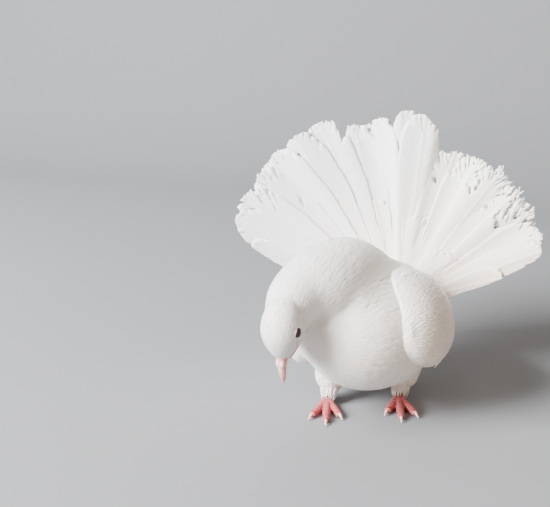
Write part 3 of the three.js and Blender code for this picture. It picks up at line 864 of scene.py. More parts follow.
def make_skin(settings, finish):
    """One skin for all the flesh but the wings' arms, with the coat's lie, sizes and regions."""
    mass = [torso_body(), crop_body(), neck_body(*LOWER_NECK)]
    mass = filled_body(mass, settings.crease_fill / MM, FILL_CELL)
    upper = [(placed(points), faces) for points, faces in (mass, neck_body(*UPPER_NECK), head_body())]
    thighs = [node_body(name) for name in ("thigh_left", "thigh_right")]
    points, faces = tail_body()
    bodies = [*upper, *thighs, (placed(points), faces)]
    skin, points, facing = skin_of("skin", bodies, settings, 9, HEAD_THINNING)
    ends = edge_ends(skin.data)
    bill = placed(on_head(HEAD_LENGTH, -2.0, 0.0))
    start = int(np.argmin(np.linalg.norm(points - bill, axis=1)))
    far = geodesic(points, ends, start)
    lie = lie_of_coat(points, ends, facing, far, np.random.default_rng(settings.seed))
    eyes = np.min([np.linalg.norm(points - placed(eye_middle(side)), axis=1) for side in SIDES], 0)
    from_bill = (points - bill) / MM
    ahead = from_bill @ TO_BILL
    off = np.linalg.norm(from_bill - ahead[:, None] * TO_BILL, axis=1)
    bare = (eyes < BARE["eye"] * MM) | ((off < BARE["bill"]) & (ahead > -BARE["behind_bill"]))
    gape = search_tree(np.concatenate([placed(gape_line(side, 0.0)) for side in SIDES]))
    for k in np.flatnonzero(far < NEAR_GAPE):
        bare[k] |= gape.find(points[k])[2] < BARE["gape"] * MM
    body = (far > BODY_START) & ~under_wing(points)
    front = points[:, 1] < placed((0, BREAST_END, 0))[1]
    left = points[:, 0] > placed((0, 0, 0))[0]
    leg = smooth_step(points[:, 2], 0.008, 0.032)
    return dress(
        skin, finish, lie=lie, facing=facing,
        coat_size=(0.26 + 0.74 * smooth_step(far, 0.008, 0.1)) * (0.45 + 0.55 * leg),
        face_coat=~bare & (far < FACE_END),
        nape_coat=~bare & (far > NAPE[0]) & (far < NAPE[1]),
        left_breast_coat=body & front & left,
        right_breast_coat=body & front & ~left,
        left_back_coat=body & ~front & left,
        right_back_coat=body & ~front & ~left,
    )


# How a wing arm's feathers point, on the left side, and where their ragged hind edge is along it
WING_LIE = np.array((0.3, 1.0, -0.12))
WING_COAT_END = 28


def make_wing_skin(side, settings, finish):
    """The skin of a folded wing's arm, whose feathers wrap round its front and point back."""
    points, faces = arm_body(side)
    skin, points, facing = skin_of("wing_skin_" + SIDES[side], [(placed(points), faces)], settings, 4)
    way = mirrored(WING_LIE, side)
    lie = unit(way - facing * (facing @ way)[:, None])
    height = points[:, 2] / MM
    last = WING_COAT_END + 1.6 * np.sin(height / 1.9) + 1.2 * np.sin(height / 0.83 + 1)
    outer = (facing[:, 0] * side > -0.5) & (points[:, 1] / MM - SHIFT[1] < last)
    back = smooth_step(points[:, 1], placed((0, -30, 0))[1], placed((0, 20, 0))[1])
    return dress(skin, finish, lie=lie, facing=facing, coat_size=0.42 + 0.3 * back, wing_coat=outer)


def unwrap(item):
    """Lays the mesh out flat in a UV map named OFBake."""
    item.data.uv_layers.new(name="OFBake")
    bpy.context.view_layer.objects.active = item
    item.select_set(True)
    bpy.ops.object.mode_set(mode="EDIT")
    bpy.ops.mesh.select_all(action="SELECT")
    bpy.ops.uv.smart_project(angle_limit=math.radians(66), island_margin=0.002)
    bpy.ops.object.mode_set(mode="OBJECT")
    item.select_set(False)


# Contour feathers

PATCH = 0.003  # how much of the bake map one feather takes
FEATHER_SHAPES = 9

# A contour feather one unit long: where its five rings are along it, their half widths, and how high
# its root, its rings and its tip stand
BLADE_ALONG = np.array((0.13, 0.32, 0.54, 0.74, 0.9))
BLADE_HALF = 0.082 * np.array((0.55, 0.9, 1.0, 0.78, 0.42))
BLADE_RISE = np.array((-0.01, 0.022, 0.044, 0.052, 0.048, 0.036, 0.026))


def contour_feather(name, draw):
    """A narrow feather one unit long, pointing along +Y: a closed blade with a soft point."""
    half = BLADE_HALF * draw.uniform(0.8, 1.2) * draw.uniform(0.85, 1.15, 5)
    sway = draw.uniform(-0.05, 0.05)
    ways = np.array(((-1, 0), (0, 0.008), (1, 0), (0, -0.007)))
    rings = np.zeros((5, 4, 3))
    rings[..., 0] = ways[:, 0] * half[:, None] + sway * BLADE_ALONG[:, None] ** 2
    rings[..., 1] = BLADE_ALONG[:, None]
    rings[..., 2] = ways[:, 1] + BLADE_RISE[1:-1, None]
    points, faces = loft(rings, (0, 0, BLADE_RISE[0]), (sway, 1, BLADE_RISE[-1]))
    vane = np.stack((points[:, 0] * 5, points[:, 1], np.full(len(points), draw.uniform(0, 9))), -1)
    blade = mesh_object(name, points * (1, 1, 0), faces, vane=vane, rise=points[:, 2])
    ends = edge_ends(blade.data)
    side = np.isin((ends - 1) % 4, (0, 2)) | (ends == 0) | (ends == len(points) - 1)
    same = ((ends[:, 0] - ends[:, 1]) % 4 == 0) | (ends == 0).any(1) | (ends == len(points) - 1).any(1)
    sharp = blade.data.attributes.new("sharp_edge", "BOOLEAN", "EDGE")
    sharp.data.foreach_set("value", side.all(1) & same)
    return blade


def contour_tree():
    """Sets feathers over a skin, along its lie, and lays each vertex at its own height over it."""
    wanted = (
        ("Skin", "Geometry", None),
        ("Feathers", "Collection", None),
        ("Region", "String", "face_coat"),
        ("Spacing", "Float", 0.003),
        ("Length", "Float", 0.012),
        ("Stray", "Float", 0.2),
        ("Loft", "Float", 1.0),
        ("Seed", "Int", 1),
        ("Finish", "Material", None),
    )
    tree, given, result = node_group("Contour feathers", "GeometryNodeTree", wanted, ("Coat", "Geometry"))

    def named(name, kind):
        return add(tree, "GeometryNodeInputNamedAttribute", name, data_type=kind).outputs[0]

    def store(geometry, name, value, kind, domain="POINT"):
        node = add(tree, "GeometryNodeStoreNamedAttribute", geometry, None, name)
        node.data_type, node.domain = kind, domain
        return wire(tree, node, {"Value": value}).outputs[0]

    def chance(low, high, offset, kind="FLOAT"):
        first = {"FLOAT_VECTOR": 0, "FLOAT": 2, "INT": 4}[kind]
        seed = reckon(tree, "ADD", given["Seed"], offset)
        node = add(tree, "FunctionNodeRandomValue", data_type=kind)
        return wire(tree, node, {first: low, first + 1: high, "Seed": seed}).outputs[first // 2]

    scatter = add(tree, "GeometryNodeDistributePointsOnFaces", distribute_method="POISSON")
    wire(tree, scatter, {
        "Mesh": given["Skin"],
        "Selection": named(given["Region"], "FLOAT"),
        "Distance Min": given["Spacing"],
        "Density Max": reckon(tree, "DIVIDE", 3.0, reckon(tree, "POWER", given["Spacing"], 2.0)),
        "Seed": given["Seed"],
    })
    length = reckon(tree, "MULTIPLY", named("coat_size", "FLOAT"), given["Length"])
    size = reckon(tree, "MULTIPLY", length, chance(0.85, 1.12, 1))
    points = store(scatter.outputs["Points"], "size", size, "FLOAT")
    points = store(points, "toss", chance(-0.011, 0.014, 2), "FLOAT")
    points = store(points, "root_uv", named("OFBake", "FLOAT_VECTOR"), "FLOAT_VECTOR")
    turn = scaled(tree, chance((-1, -1, -1), (1, 1, 1), 3, "FLOAT_VECTOR"), given["Stray"])
    way = vector_reckon(tree, "ADD", named("lie", "FLOAT_VECTOR"), turn)
    rotation = add(
        tree, "FunctionNodeAxesToRotation", named("facing", "FLOAT_VECTOR"), way,
        primary_axis="Z", secondary_axis="Y",
    )
    shapes = add(tree, "GeometryNodeCollectionInfo", given["Feathers"], True, True)
    grown = wire(tree, add(tree, "GeometryNodeInstanceOnPoints", points), {
        "Instance": shapes.outputs[0],
        "Instance Index": chance(0, 99, 4, "INT"),
        "Rotation": rotation.outputs[0],
        "Scale": named("size", "FLOAT"),
        "Pick Instance": True,
    })
    coat = add(tree, "GeometryNodeRealizeInstances", grown.outputs[0]).outputs[0]
    near = add(tree, "GeometryNodeProximity", given["Skin"], target_element="FACES").outputs[0]
    surface = add(tree, "GeometryNodeSampleNearestSurface", given["Skin"], data_type="FLOAT_VECTOR")
    wire(tree, surface, {"Value": named("facing", "FLOAT_VECTOR")})
    height = reckon(tree, "ADD", named("rise", "FLOAT"), named("toss", "FLOAT"))
    height = reckon(tree, "MULTIPLY", height, named("size", "FLOAT"))
    height = reckon(tree, "MULTIPLY", height, given["Loft"])
    place = vector_reckon(tree, "ADD", near, scaled(tree, surface.outputs[0], height))
    coat = add(tree, "GeometryNodeSetPosition", coat, None, place)
    patch = vector_reckon(tree, "MULTIPLY", named("vane", "FLOAT_VECTOR"), (PATCH, PATCH, 0.0))
    spot = vector_reckon(tree, "ADD", named("root_uv", "FLOAT_VECTOR"), patch)
    coat = store(coat.outputs[0], "OFBake", spot, "FLOAT2", "CORNER")
    for name in ("lie", "facing", "root_uv", "coat_size", "rise", "toss", "size"):
        coat = add(tree, "GeometryNodeRemoveAttribute", coat, name).outputs[0]
    coat = add(tree, "GeometryNodeSetMaterial", coat, None, given["Finish"])
    tree.links.new(coat.outputs[0], result)
    return tree


# Flight feathers

BARB_LEVELS = np.array((0.0, 0.03, 0.1, 0.24, 0.4, 0.56, 0.72, 0.87, 1.0))
BARB_TURN = 46  # degrees from the shaft, at the root
SHAFT_SHARE = 0.94
LEAST_BARB = 0.3
VANE_THICKNESS = 0.22 * MM


def vane_sheet(length, half, draw, wear, limit, clumps=15, blunt=3.4):
    """A flat feather: along and across of each barb's points, edge to edge, and which cells it has.

    The barbs grow from the shaft in clumps. Wear shortens clumps at the tip, opens slits between
    them and tears cells out. limit gives the half width allowed at each place along it."""
    bounds = np.concatenate(([0.0], np.cumsum(draw.uniform(0.6, 1.4, clumps))))
    bounds /= bounds[-1]
    split = 0.02 + 0.1 * wear
    place, clump = [], []
    for k, (low, high) in enumerate(zip(bounds[:-1], bounds[1:])):
        place.extend(np.linspace(low + split * (high - low), high - split * (high - low), 3))
        clump.extend([k] * 3)
    place, clump = np.array(place), np.array(clump)
    place[0], place[-1] = 0.0, 1.0
    shaft = length * SHAFT_SHARE * (1 - (1 - place) ** 1.35)
    sides, cells = [], []
    for side in (-1, 1):
        stray = draw.normal(0, 0.6 + 3.0 * wear, clumps)[clump] * smooth_step(place, 0.6, 0.9)
        turn = np.radians(BARB_TURN * (1 - place**4) + stray)
        steps = np.linspace(0, 1, 90)[None, :] * length * 0.5
        along = shaft[:, None] + steps * np.cos(turn)[:, None]
        share = np.clip((along / length - 0.8) / 0.2, 0, 1)
        edge = half * (0.4 + 0.6 * smooth_step(along / length, 0, 0.5)) * (1 - share**blunt) ** (1 / blunt)
        inside = (steps * np.sin(turn)[:, None] <= np.minimum(edge, limit(along))) & (along <= length)
        reach = np.where(inside, steps, 0).max(1)
        at_tip = smooth_step((shaft + reach * np.cos(turn)) / length, 0.84 - 0.1 * wear, 0.95)
        worn = draw.random(clumps) ** 1.6 * (0.15 + wear)
        ragged = draw.random(len(place)) * (0.04 + 0.12 * wear)
        reach = reach * (1 - 0.36 * worn[clump] * at_tip) * (1 - ragged * at_tip)
        reach = np.maximum(reach, LEAST_BARB)
        out = reach[:, None] * BARB_LEVELS[None, :]
        bend = 0.1 * reach[:, None] * BARB_LEVELS[None, :] ** 2
        line = np.stack((shaft[:, None] + out * np.cos(turn)[:, None] + bend,
                         side * out * np.sin(turn)[:, None]), -1)
        there = np.ones((len(place) - 1, len(BARB_LEVELS) - 1), bool)
        cut = 1 - (0.03 + 0.9 * wear) * draw.uniform(0.1, 0.7, clumps)
        cut = np.where(bounds[:-1] > 0.74 - 0.2 * wear, cut, 1.0)
        apart = clump[1:] != clump[:-1]
        there[apart] = BARB_LEVELS[None, 1:] <= np.maximum(cut[clump[1:]][apart], 0.25)[:, None]
        torn = (draw.random(there.shape) < 0.22 * wear**2) & (BARB_LEVELS[None, 1:] > 0.5)
        there &= ~(torn & (place[1:, None] > 0.6))
        sides.append(line if side > 0 else line[:, ::-1])
        cells.append(there if side > 0 else there[:, ::-1])
    grid = np.concatenate((sides[0], sides[1][:, 1:]), 1)
    return grid[..., 0], grid[..., 1], np.concatenate(cells, 1)


def sheet_faces(there):
    rows, columns = there.shape
    index = np.arange((rows + 1) * (columns + 1)).reshape(rows + 1, columns + 1)
    corners = (index[:-1, :-1], index[:-1, 1:], index[1:, 1:], index[1:, :-1])
    return np.stack([corner[there] for corner in corners], -1)


class Flock:
    """Feathers gathered into one piece, each with its patch of the skin's own map."""

    def __init__(self, skin, draw):
        mesh = skin.data
        self.draw = draw
        self.spots = np.zeros((len(mesh.vertices), 2))
        vertex = read_all(mesh.loops, "vertex_index", kind=np.int64)[:, 0]
        self.spots[vertex] = read_all(mesh.uv_layers["OFBake"].data, "uv", 2)
        self.tree = search_tree(coordinates(mesh))
        self.points, self.faces, self.vanes, self.patches, self.count = [], [], [], [], 0

    def feather(self, points, there, along, across):
        """points are a grid in the solids' layout; along and across run 0..1 and -1..1."""
        points = placed(points)
        faces = sheet_faces(there)
        rows, columns = points.shape[:2]
        spot = self.spots[self.tree.find(points[0, columns // 2])[1]] + self.draw.uniform(-1, 1, 2) * PATCH
        vane = np.stack((across * 0.5, along, np.full_like(along, self.draw.uniform(0, 9))), -1)
        self.points.append(points.reshape(-1, 3))
        self.faces.append(faces + self.count)
        self.vanes.append(vane.reshape(-1, 3))
        self.patches.append((spot + vane[..., :2] * PATCH).reshape(-1, 2))
        self.count += rows * columns

    def piece(self, name, finish, thickness=VANE_THICKNESS):
        item = mesh_object(
            name, np.concatenate(self.points), np.concatenate(self.faces).tolist(), finish,
            vane=np.concatenate(self.vanes),
        )
        mesh = item.data
        with reworked(mesh) as work:
            bmesh.ops.delete(work, geom=[v for v in work.verts if not v.link_faces], context="VERTS")
        used = np.unique(np.concatenate(self.faces))
        vertex = read_all(mesh.loops, "vertex_index", kind=np.int64)[:, 0]
        patches = np.concatenate(self.patches)[used][vertex]
        mesh.uv_layers.new(name="OFBake").data.foreach_set("uv", patches.ravel())
        solid = item.modifiers.new("Thickness", "SOLIDIFY")
        solid.thickness = thickness
        solid.offset = 0.0
        return settle(item)


# What is left of the fan: angle in degrees from upright to the bird's left, and reach
FAN_EDGE = np.array((
    (-80, 62), (-76, 88), (-74, 101), (-72, 113), (-69.5, 125), (-64, 134), (-58.9, 138.7),
    (-54, 137), (-50.9, 137.5), (-47.7, 143), (-38.2, 143.7), (-30.5, 145.2), (-24.8, 145.5),
    (-21.6, 143), (-21.1, 128.5), (-20.6, 129), (-18.5, 136.6), (-15.2, 135.8), (-13.8, 133.5),
    (-8.8, 137.5), (-5.4, 137.8), (-4.7, 129.5), (-4.1, 130), (-2.7, 136.6), (-1, 141.8),
    (2.3, 143.3), (5.9, 140.2), (10.6, 132), (12.2, 118.6), (13.9, 117.6), (16, 120.8),
    (21.4, 122.3), (28.6, 124.5), (33, 129), (37.1, 125), (43.8, 125.5), (50, 123), (54.6, 119.5),
    (59.9, 116), (63.3, 110.5), (65.2, 101.8), (66.5, 90), (68, 76), (69, 70), (71, 50), (76, 36),
))

# The front row: the angle of each feather, in degrees from upright to the bird's left, and its wear
FRONT_FEATHERS = (
    (-71.5, 0.06), (-64.5, 0.12), (-57, 0.5), (-49.5, 0.3), (-41.5, 0.22), (-33.5, 0.25),
    (-25.5, 0.2), (-16.5, 0.2), (-9.5, 0.16), (-1.0, 0.08), (6.0, 0.08), (17, 0.4), (25, 0.6),
    (33, 0.9), (41, 1.0), (49, 0.95), (56.5, 0.4), (62.0, 0.1), (67.5, 0.1),
)

# The long feathers: the angle from one to the next, where their vanes start, the angle past which they
# are the narrow outermost ones, their half widths, and the back row's lift off the front one
FAN_STEP = math.radians(8.2)
FAN_QUILL = 6.0
OUTERMOST = 67
FEATHER_HALF = {"front": 15.5, "outermost": 11.0, "back": 14.5}
BACK_ROW_LIFT = -3.2

# The lobe near the fan's top, in degrees from upright to the bird's left, and how far it stands out
FAN_LOBE = {"from": -4.2, "to": 12.0, "lift": 6.5}

# The coverts over the tail's root and those under it, row by row: the share of the fan's reach, how
# many feathers, their half width and lift, half the row's spread in degrees, and how far their tips
# press down
TAIL_COVERTS = (
    (0.53, 6, 10.5, 1.2, 22, 0.6), (0.45, 12, 10, 1.6, 46, 0.7),
    (0.36, 12, 9, 2.5, 54, 0.7), (0.25, 11, 7.5, 3.1, 60, 0.7),
)
UNDER_TAIL_COVERTS = (
    (0.5, 12, 10.5, -5.6, 48, 0.45), (0.4, 11, 10, -6.6, 52, 0.45), (0.28, 10, 9, -7.8, 58, 0.45),
    (0.19, 11, 7, -9.6, 66, 0.45), (0.13, 10, 5.5, -12.0, 74, 0.45),
)
COVERT_CLUMPS = 9


def fan_edge(angle):
    """How far what is left of the fan reaches at an angle."""
    return np.interp(angle, np.radians(FAN_EDGE[:, 0]) - FAN_TURN, FAN_EDGE[:, 1])


def fan_wave(angle, r):
    """The fan's own waves: soft folds that grow outwards, and a lobe near its top that stands out."""
    out = np.clip(r / FAN_REACH, 0, 1) ** 1.6
    soft = 2.6 * np.sin(11 * angle + 0.6) + 1.8 * np.sin(23 * angle + 2.1)
    low, high = np.radians((FAN_LOBE["from"], FAN_LOBE["to"])) - FAN_TURN
    lobe = smooth_step(angle, low - 0.02, low + 0.03)
    lobe *= 1 - smooth_step(angle, high - 0.06, high + 0.02)
    return out * (soft + FAN_LOBE["lift"] * lobe)


def within_edge(flock, r_root, along, across, middle, spare, wear):
    """Shortens the barbs that would reach beyond what is left of the fan."""
    shaft = across.shape[1] // 2
    share = np.linspace(0.05, 1, 40)[None, :]
    rough = flock.draw.uniform(0, 1, len(along)) * (0.03 + 0.12 * wear)
    rough += np.repeat(flock.draw.uniform(0, 1, len(along) // 3 + 1), 3)[: len(along)] * (0.02 + 0.2 * wear)
    for half, end in ((slice(0, shaft), 0), (slice(shaft + 1, None), -1)):
        a = along[:, shaft, None] + (along[:, end] - along[:, shaft])[:, None] * share
        r = r_root + a
        angle = middle + across[:, end, None] * share / r
        over = r > fan_edge(angle) - spare
        kept = np.where(over.any(1), share[0, np.argmax(over, 1)] * (1 - rough), 1.0)[:, None]
        along[:, half] = along[:, shaft, None] + (along[:, half] - along[:, shaft, None]) * kept
        across[:, half] *= kept
    return along, across


def fan_feather(
    flock, middle, root, reach, half, lift, wear, clumps=15, shingle=1.15, step=FAN_STEP, curl=2.0,
    spare=None, press=0.0,
):
    """One feather on the tail's dish, laid on the next one outwards."""
    length = reach - root
    along, across, there = vane_sheet(
        length, half, flock.draw, wear, lambda a: (root + a) * step * 1.15, clumps
    )
    if spare is not None:
        along, across = within_edge(flock, root, along, across, middle, spare, wear)
    r = root + along
    angle = middle + across / r
    fall = (np.abs(angle) - abs(middle)) / step if abs(middle) > step / 3 else np.abs(angle) / step
    bow = 0.3 * np.exp(-((across / 0.8) ** 2)) - 1.3 * (across / half) ** 2 * (along / length)
    bend = curl * flock.draw.uniform(-1.2, 0.8) * (along / length) ** 4
    twist = curl * flock.draw.normal(0, 0.45) * across / half * along / length
    over = lift * (1 - press * (along / length) ** 2)
    height = over - shingle * fall + bow + bend + twist + fan_wave(angle, r)
    flock.feather(on_fan(r, angle, height), there, along / length, across / half)


def covert_rows(flock, rows, spread, **settings):
    """Rows of short feathers on the tail's root; spread is the range of their lengths."""
    for share, count, half, lift, half_angle, press in rows:
        step = 2 * math.radians(half_angle) / count
        for middle in np.radians(np.linspace(-half_angle, half_angle, count)):
            reach = FAN_REACH * share * flock.draw.uniform(*spread)
            fan_feather(
                flock, middle, reach=reach, half=half, lift=lift, clumps=COVERT_CLUMPS, step=step,
                press=press, **settings,
            )


def fan_rows(skin, seed, finish):
    """The tail: front row, back row, the coverts over its root and those behind it."""
    flocks = [Flock(skin, np.random.default_rng(seed + row)) for row in range(4)]
    front, back, over, under = flocks
    for degrees, wear in FRONT_FEATHERS:
        middle = math.radians(degrees) - FAN_TURN
        half = FEATHER_HALF["front" if abs(degrees) < OUTERMOST else "outermost"]
        fan_feather(front, middle, FAN_QUILL, fan_edge(middle), half, 0.0, wear, clumps=17, spare=0.0)
    for (degrees, wear), (next_degrees, next_wear) in zip(FRONT_FEATHERS, FRONT_FEATHERS[1:]):
        middle = math.radians((degrees + next_degrees) / 2) - FAN_TURN
        wear = 0.5 * (wear + next_wear)
        spare = back.draw.uniform(1.0, 4.0)
        reach = fan_edge(middle) - spare
        fan_feather(
            back, middle, FAN_QUILL, reach, FEATHER_HALF["back"], BACK_ROW_LIFT, wear, spare=spare
        )
    covert_rows(over, TAIL_COVERTS, (0.84, 1.08), root=4.0, wear=0.06, shingle=0.5, curl=0.8)
    covert_rows(under, UNDER_TAIL_COVERTS, (0.9, 1.06), root=2.0, wear=0.1, shingle=-0.8, curl=0.5)
    names = ("tail_front_feathers", "tail_back_feathers", "tail_coverts", "under_tail_coverts")
    return [flock.piece(name, finish) for flock, name in zip(flocks, names)]


# Each tier of the folded wing: how many, half width, step, lift, then y and angle of the root and
# the tip of its lowest and its highest feather
WING_TIERS = {
    "primaries": (7, 7.5, 3.4, 1.0, (22, -22), (98, -26), (22, -6), (84, -11)),
    "secondaries": (12, 8.0, 4.4, 2.4, (18, -16), (82, -17), (18, 48), (60, 36)),
    "greater_coverts": (15, 6.2, 4.0, 3.9, (8, -20), (54, -20), (8, 57), (42, 47)),
    "median_coverts": (17, 5.0, 3.6, 5.2, (-2, -22), (38, -22), (-2, 60), (30, 53)),
    "lesser_coverts": (19, 4.2, 3.2, 6.4, (-12, -23), (24, -23), (-10, 62), (18, 58)),
}
WING_ARM_SPAN = 48.0  # mm of one radian round the wing's form


def wing_feathers(skin, side, seed, finish):
    flock = Flock(skin, np.random.default_rng(seed))
    for count, half, step, lift, *ends in WING_TIERS.values():
        low_root, low_tip, high_root, high_tip = (
            np.array((y, math.radians(angle + WING_HANG[side]) * WING_ARM_SPAN)) for y, angle in ends
        )
        for share in np.linspace(0, 1, count):
            root = low_root + (high_root - low_root) * share
            tip = low_tip + (high_tip - low_tip) * share + (flock.draw.uniform(-1.5, 1.5), 0)
            length = float(np.linalg.norm(tip - root))
            way = (tip - root) / length
            along, across, there = vane_sheet(
                length, half, flock.draw, 0.05, lambda a: a + 3.0, 8, 2.1
            )
            y = root[0] + way[0] * along - way[1] * across
            round_form = root[1] + way[1] * along + way[0] * across
            ridge = 0.15 * np.exp(-((across / 0.6) ** 2)) - 0.5 * (across / half) ** 2
            settle_down = -1.7 * (along / length) ** 2
            turned = np.degrees(round_form / WING_ARM_SPAN) - ARM["middle"] - WING_HANG[side]
            crest = np.maximum(wing_crest(turned / (ARM["half"] + 5)), 0.15)
            height = lift * crest - 0.6 * across / step + ridge + settle_down
            points = on_wing(y, round_form / WING_ARM_SPAN, height)
            flock.feather(mirrored(points, side), there, along / length, across / half)
    return flock.piece("wing_feathers_" + SIDES[side], finish)


# Each ring of loose feathers round an ankle: how high its root and tip are as shares of the shank, and
# its radius at each
LEG_RINGS = (
    (1.8, 0.66, 6.8, 6.2), (1.55, 0.46, 6.4, 5.7), (1.32, 0.3, 6.0, 5.1), (1.1, 0.16, 5.4, 4.6),
    (0.9, 0.04, 4.8, 4.0),
)
RING_FEATHERS = 46
LEG_FEATHER_THICKNESS = 0.12 * MM

# The way up the shank from the joint over the foot, and how it bows between its ends
SHANK = np.array((0.0, 9.0, 12.5))
SHANK_BOW = np.array((0, 1.0, -3.0))


def leg_tufts(skin, seed, finish):
    """Loose feathers that hang from the thighs round the ankles."""
    flock = Flock(skin, np.random.default_rng(seed))
    s = np.linspace(0, 1, 7)[:, None]
    columns = np.array((-1.0, 0.0, 1.0))[None, :]
    half = 1.05 * np.sin(math.pi * np.clip(s * 0.86 + 0.12, 0, 0.98)) ** 0.8
    way = unit(SHANK)
    for joint, _, side in FEET.values():
        for root, tip, wide, close in LEG_RINGS:
            for turn in full_turn(RING_FEATHERS):
                turn = turn + flock.draw.normal(0, 0.08)
                radial = np.array((math.cos(turn), 0, 0)) + math.sin(turn) * np.cross(way, (1, 0, 0))
                out = wide + (close - wide) * s + 1.3 * np.sin(math.pi * s)
                out = out + flock.draw.normal(0, 0.2) + flock.draw.uniform(-0.3, 0.5) * s**2
                height = root + (tip + flock.draw.normal(0, 0.05) - root) * s
                middle = np.array(joint) + height[..., None] * SHANK
                grid = middle + (out - 0.2 * columns**2)[..., None] * radial
                grid = grid + (half * columns)[..., None] * np.cross(way, radial)
                there = np.ones((len(s) - 1, 2), bool)
                flock.feather(grid, there, s + 0 * columns, 0 * s + columns)
    return flock.piece("leg_tufts", finish, LEG_FEATHER_THICKNESS)


# Head


def ball_rings(rings, sides):
    """Unit directions of a ball's rings, from its front pole to its back one."""
    tilt = np.linspace(0, math.pi, rings + 2)[1:-1, None]
    turn = full_turn(sides)[None, :]
    return np.stack((np.cos(tilt) + 0 * turn, np.sin(tilt) * np.sin(turn), np.sin(tilt) * np.cos(turn)), -1)


def along_axes(ways, first, second, third):
    return ways[..., :1] * first + ways[..., 1:2] * second + ways[..., 2:] * third


def piece_of(name, points, faces, finish, **layers):
    """A closed piece from points in the solids' layout."""
    return outward(mesh_object(name, placed(points), faces, finish, **layers))


def eye_axes(side):
    """Out of the head, forward to the bill and up, at one eye."""
    out = unit(HEAD_LEFT * side + 0.16 * TO_BILL + 0.06 * HEAD_UP)
    forward = unit(TO_BILL - out * TO_BILL.dot(out))
    return out, forward, np.cross(out, forward) * side


CORNEA = 0.03  # how much further out the ball stands in the middle of the iris


def eyeball(name, side, finish):
    """A ball with a slight cornea; off_axis is each point's angle from the way it looks."""
    axes = eye_axes(side)
    ways = ball_rings(30, 40)
    radius = EYE["radius"] * (1 + CORNEA * np.exp(-(((1 - ways[..., :1]) / 0.12) ** 2)))
    rings = eye_middle(side) + radius * along_axes(ways, *axes)
    poles = [eye_middle(side) + axes[0] * EYE["radius"] * share for share in (1 + CORNEA, -1)]
    off_axis = np.concatenate(([0.0], np.arccos(ways[..., 0]).ravel(), [math.pi]))
    return piece_of(name, *loft(rings, *poles), finish, off_axis=off_axis)


# Round the lids' section: how far each point turns from the opening, and its rise over the ball
LID_TURN = np.radians((1, -1, 1.5, 6, 13, 22, 34, 50, 50, 20))
LID_RISE = np.array((-0.15, 0.04, 0.11, 0.13, 0.13, 0.12, 0.1, 0.05, -0.6, -0.5))


def eyelids(name, side, settings, finish):
    """Soft bare skin that hugs the ball round an almond opening and sinks into the face."""
    turn = full_turn(96)[:, None]
    wide = settings.lid_length / MM * (1 + 0.07 * np.abs(np.cos(turn)) ** 6)
    tall = settings.lid_height / MM
    opening = np.hypot(wide * np.cos(turn), tall * np.sin(turn))
    round_ball = np.arctan2(tall * np.sin(turn), wide * np.cos(turn))
    tilt = np.arcsin(opening / EYE["radius"]) + LID_TURN[None, :]
    wrinkle = 1 + 0.1 * np.sin(turn * 26) + 0.08 * np.sin(turn * 41 + 1)
    radius = EYE["radius"] + np.where(LID_RISE > 0, LID_RISE * wrinkle, LID_RISE) * settings.lid_thickness
    ways = (np.cos(tilt), np.sin(tilt) * np.cos(round_ball), np.sin(tilt) * np.sin(round_ball))
    rings = eye_middle(side) + radius[..., None] * along_axes(np.stack(ways, -1), *eye_axes(side))
    count, sides = rings.shape[:2]
    faces = []
    for i in range(count):
        for j in range(sides):
            a, b = i * sides, (i + 1) % count * sides
            faces.append((a + j, b + j, b + (j + 1) % sides, a + (j + 1) % sides))
    return piece_of(name, rings, faces, finish)


def gape_fold(name, side, finish):
    """The thin bare fold from the corner of the mouth towards the eye."""
    line = gape_line(side, -0.42)
    radii = (0.85 - 0.5 * np.linspace(0, 1, len(line)))[:, None] * np.ones((1, 12))
    way = unit(np.gradient(line, axis=0))
    deep = unit(np.cross(way, HEAD_LEFT))
    turn = full_turn(12)[None, :, None]
    rings = line[:, None] + radii[..., None] * (
        np.cos(turn) * deep[:, None] + np.sin(turn) * side * np.cross(deep, way)[:, None]
    )
    return piece_of(name, *loft(rings[1:-1], line[0], line[-1]), finish)


# The bill's root and axes, and its mouth: the way up over it, how far under the axis it runs, and half
# the gap between the two halves
BILL_ROOT = on_head(HEAD_LENGTH - BILL["sunk"], -BILL["drop"], 0.0)
BILL_WAY = unit(TO_BILL - 0.12 * HEAD_UP)
BILL_UP = unit(HEAD_UP - BILL_WAY * HEAD_UP.dot(BILL_WAY))
MOUTH_UP = unit(BILL_UP + 0.1 * BILL_WAY)
MOUTH_LOW = 0.6
MOUTH_HALF_GAP = 0.14


def on_bill(forward, up, out):
    """A point from where the bill leaves the face: along the bill, up and to the bird's left."""
    return BILL_ROOT + BILL_WAY * (BILL["sunk"] + forward) + BILL_UP * up + HEAD_LEFT * out


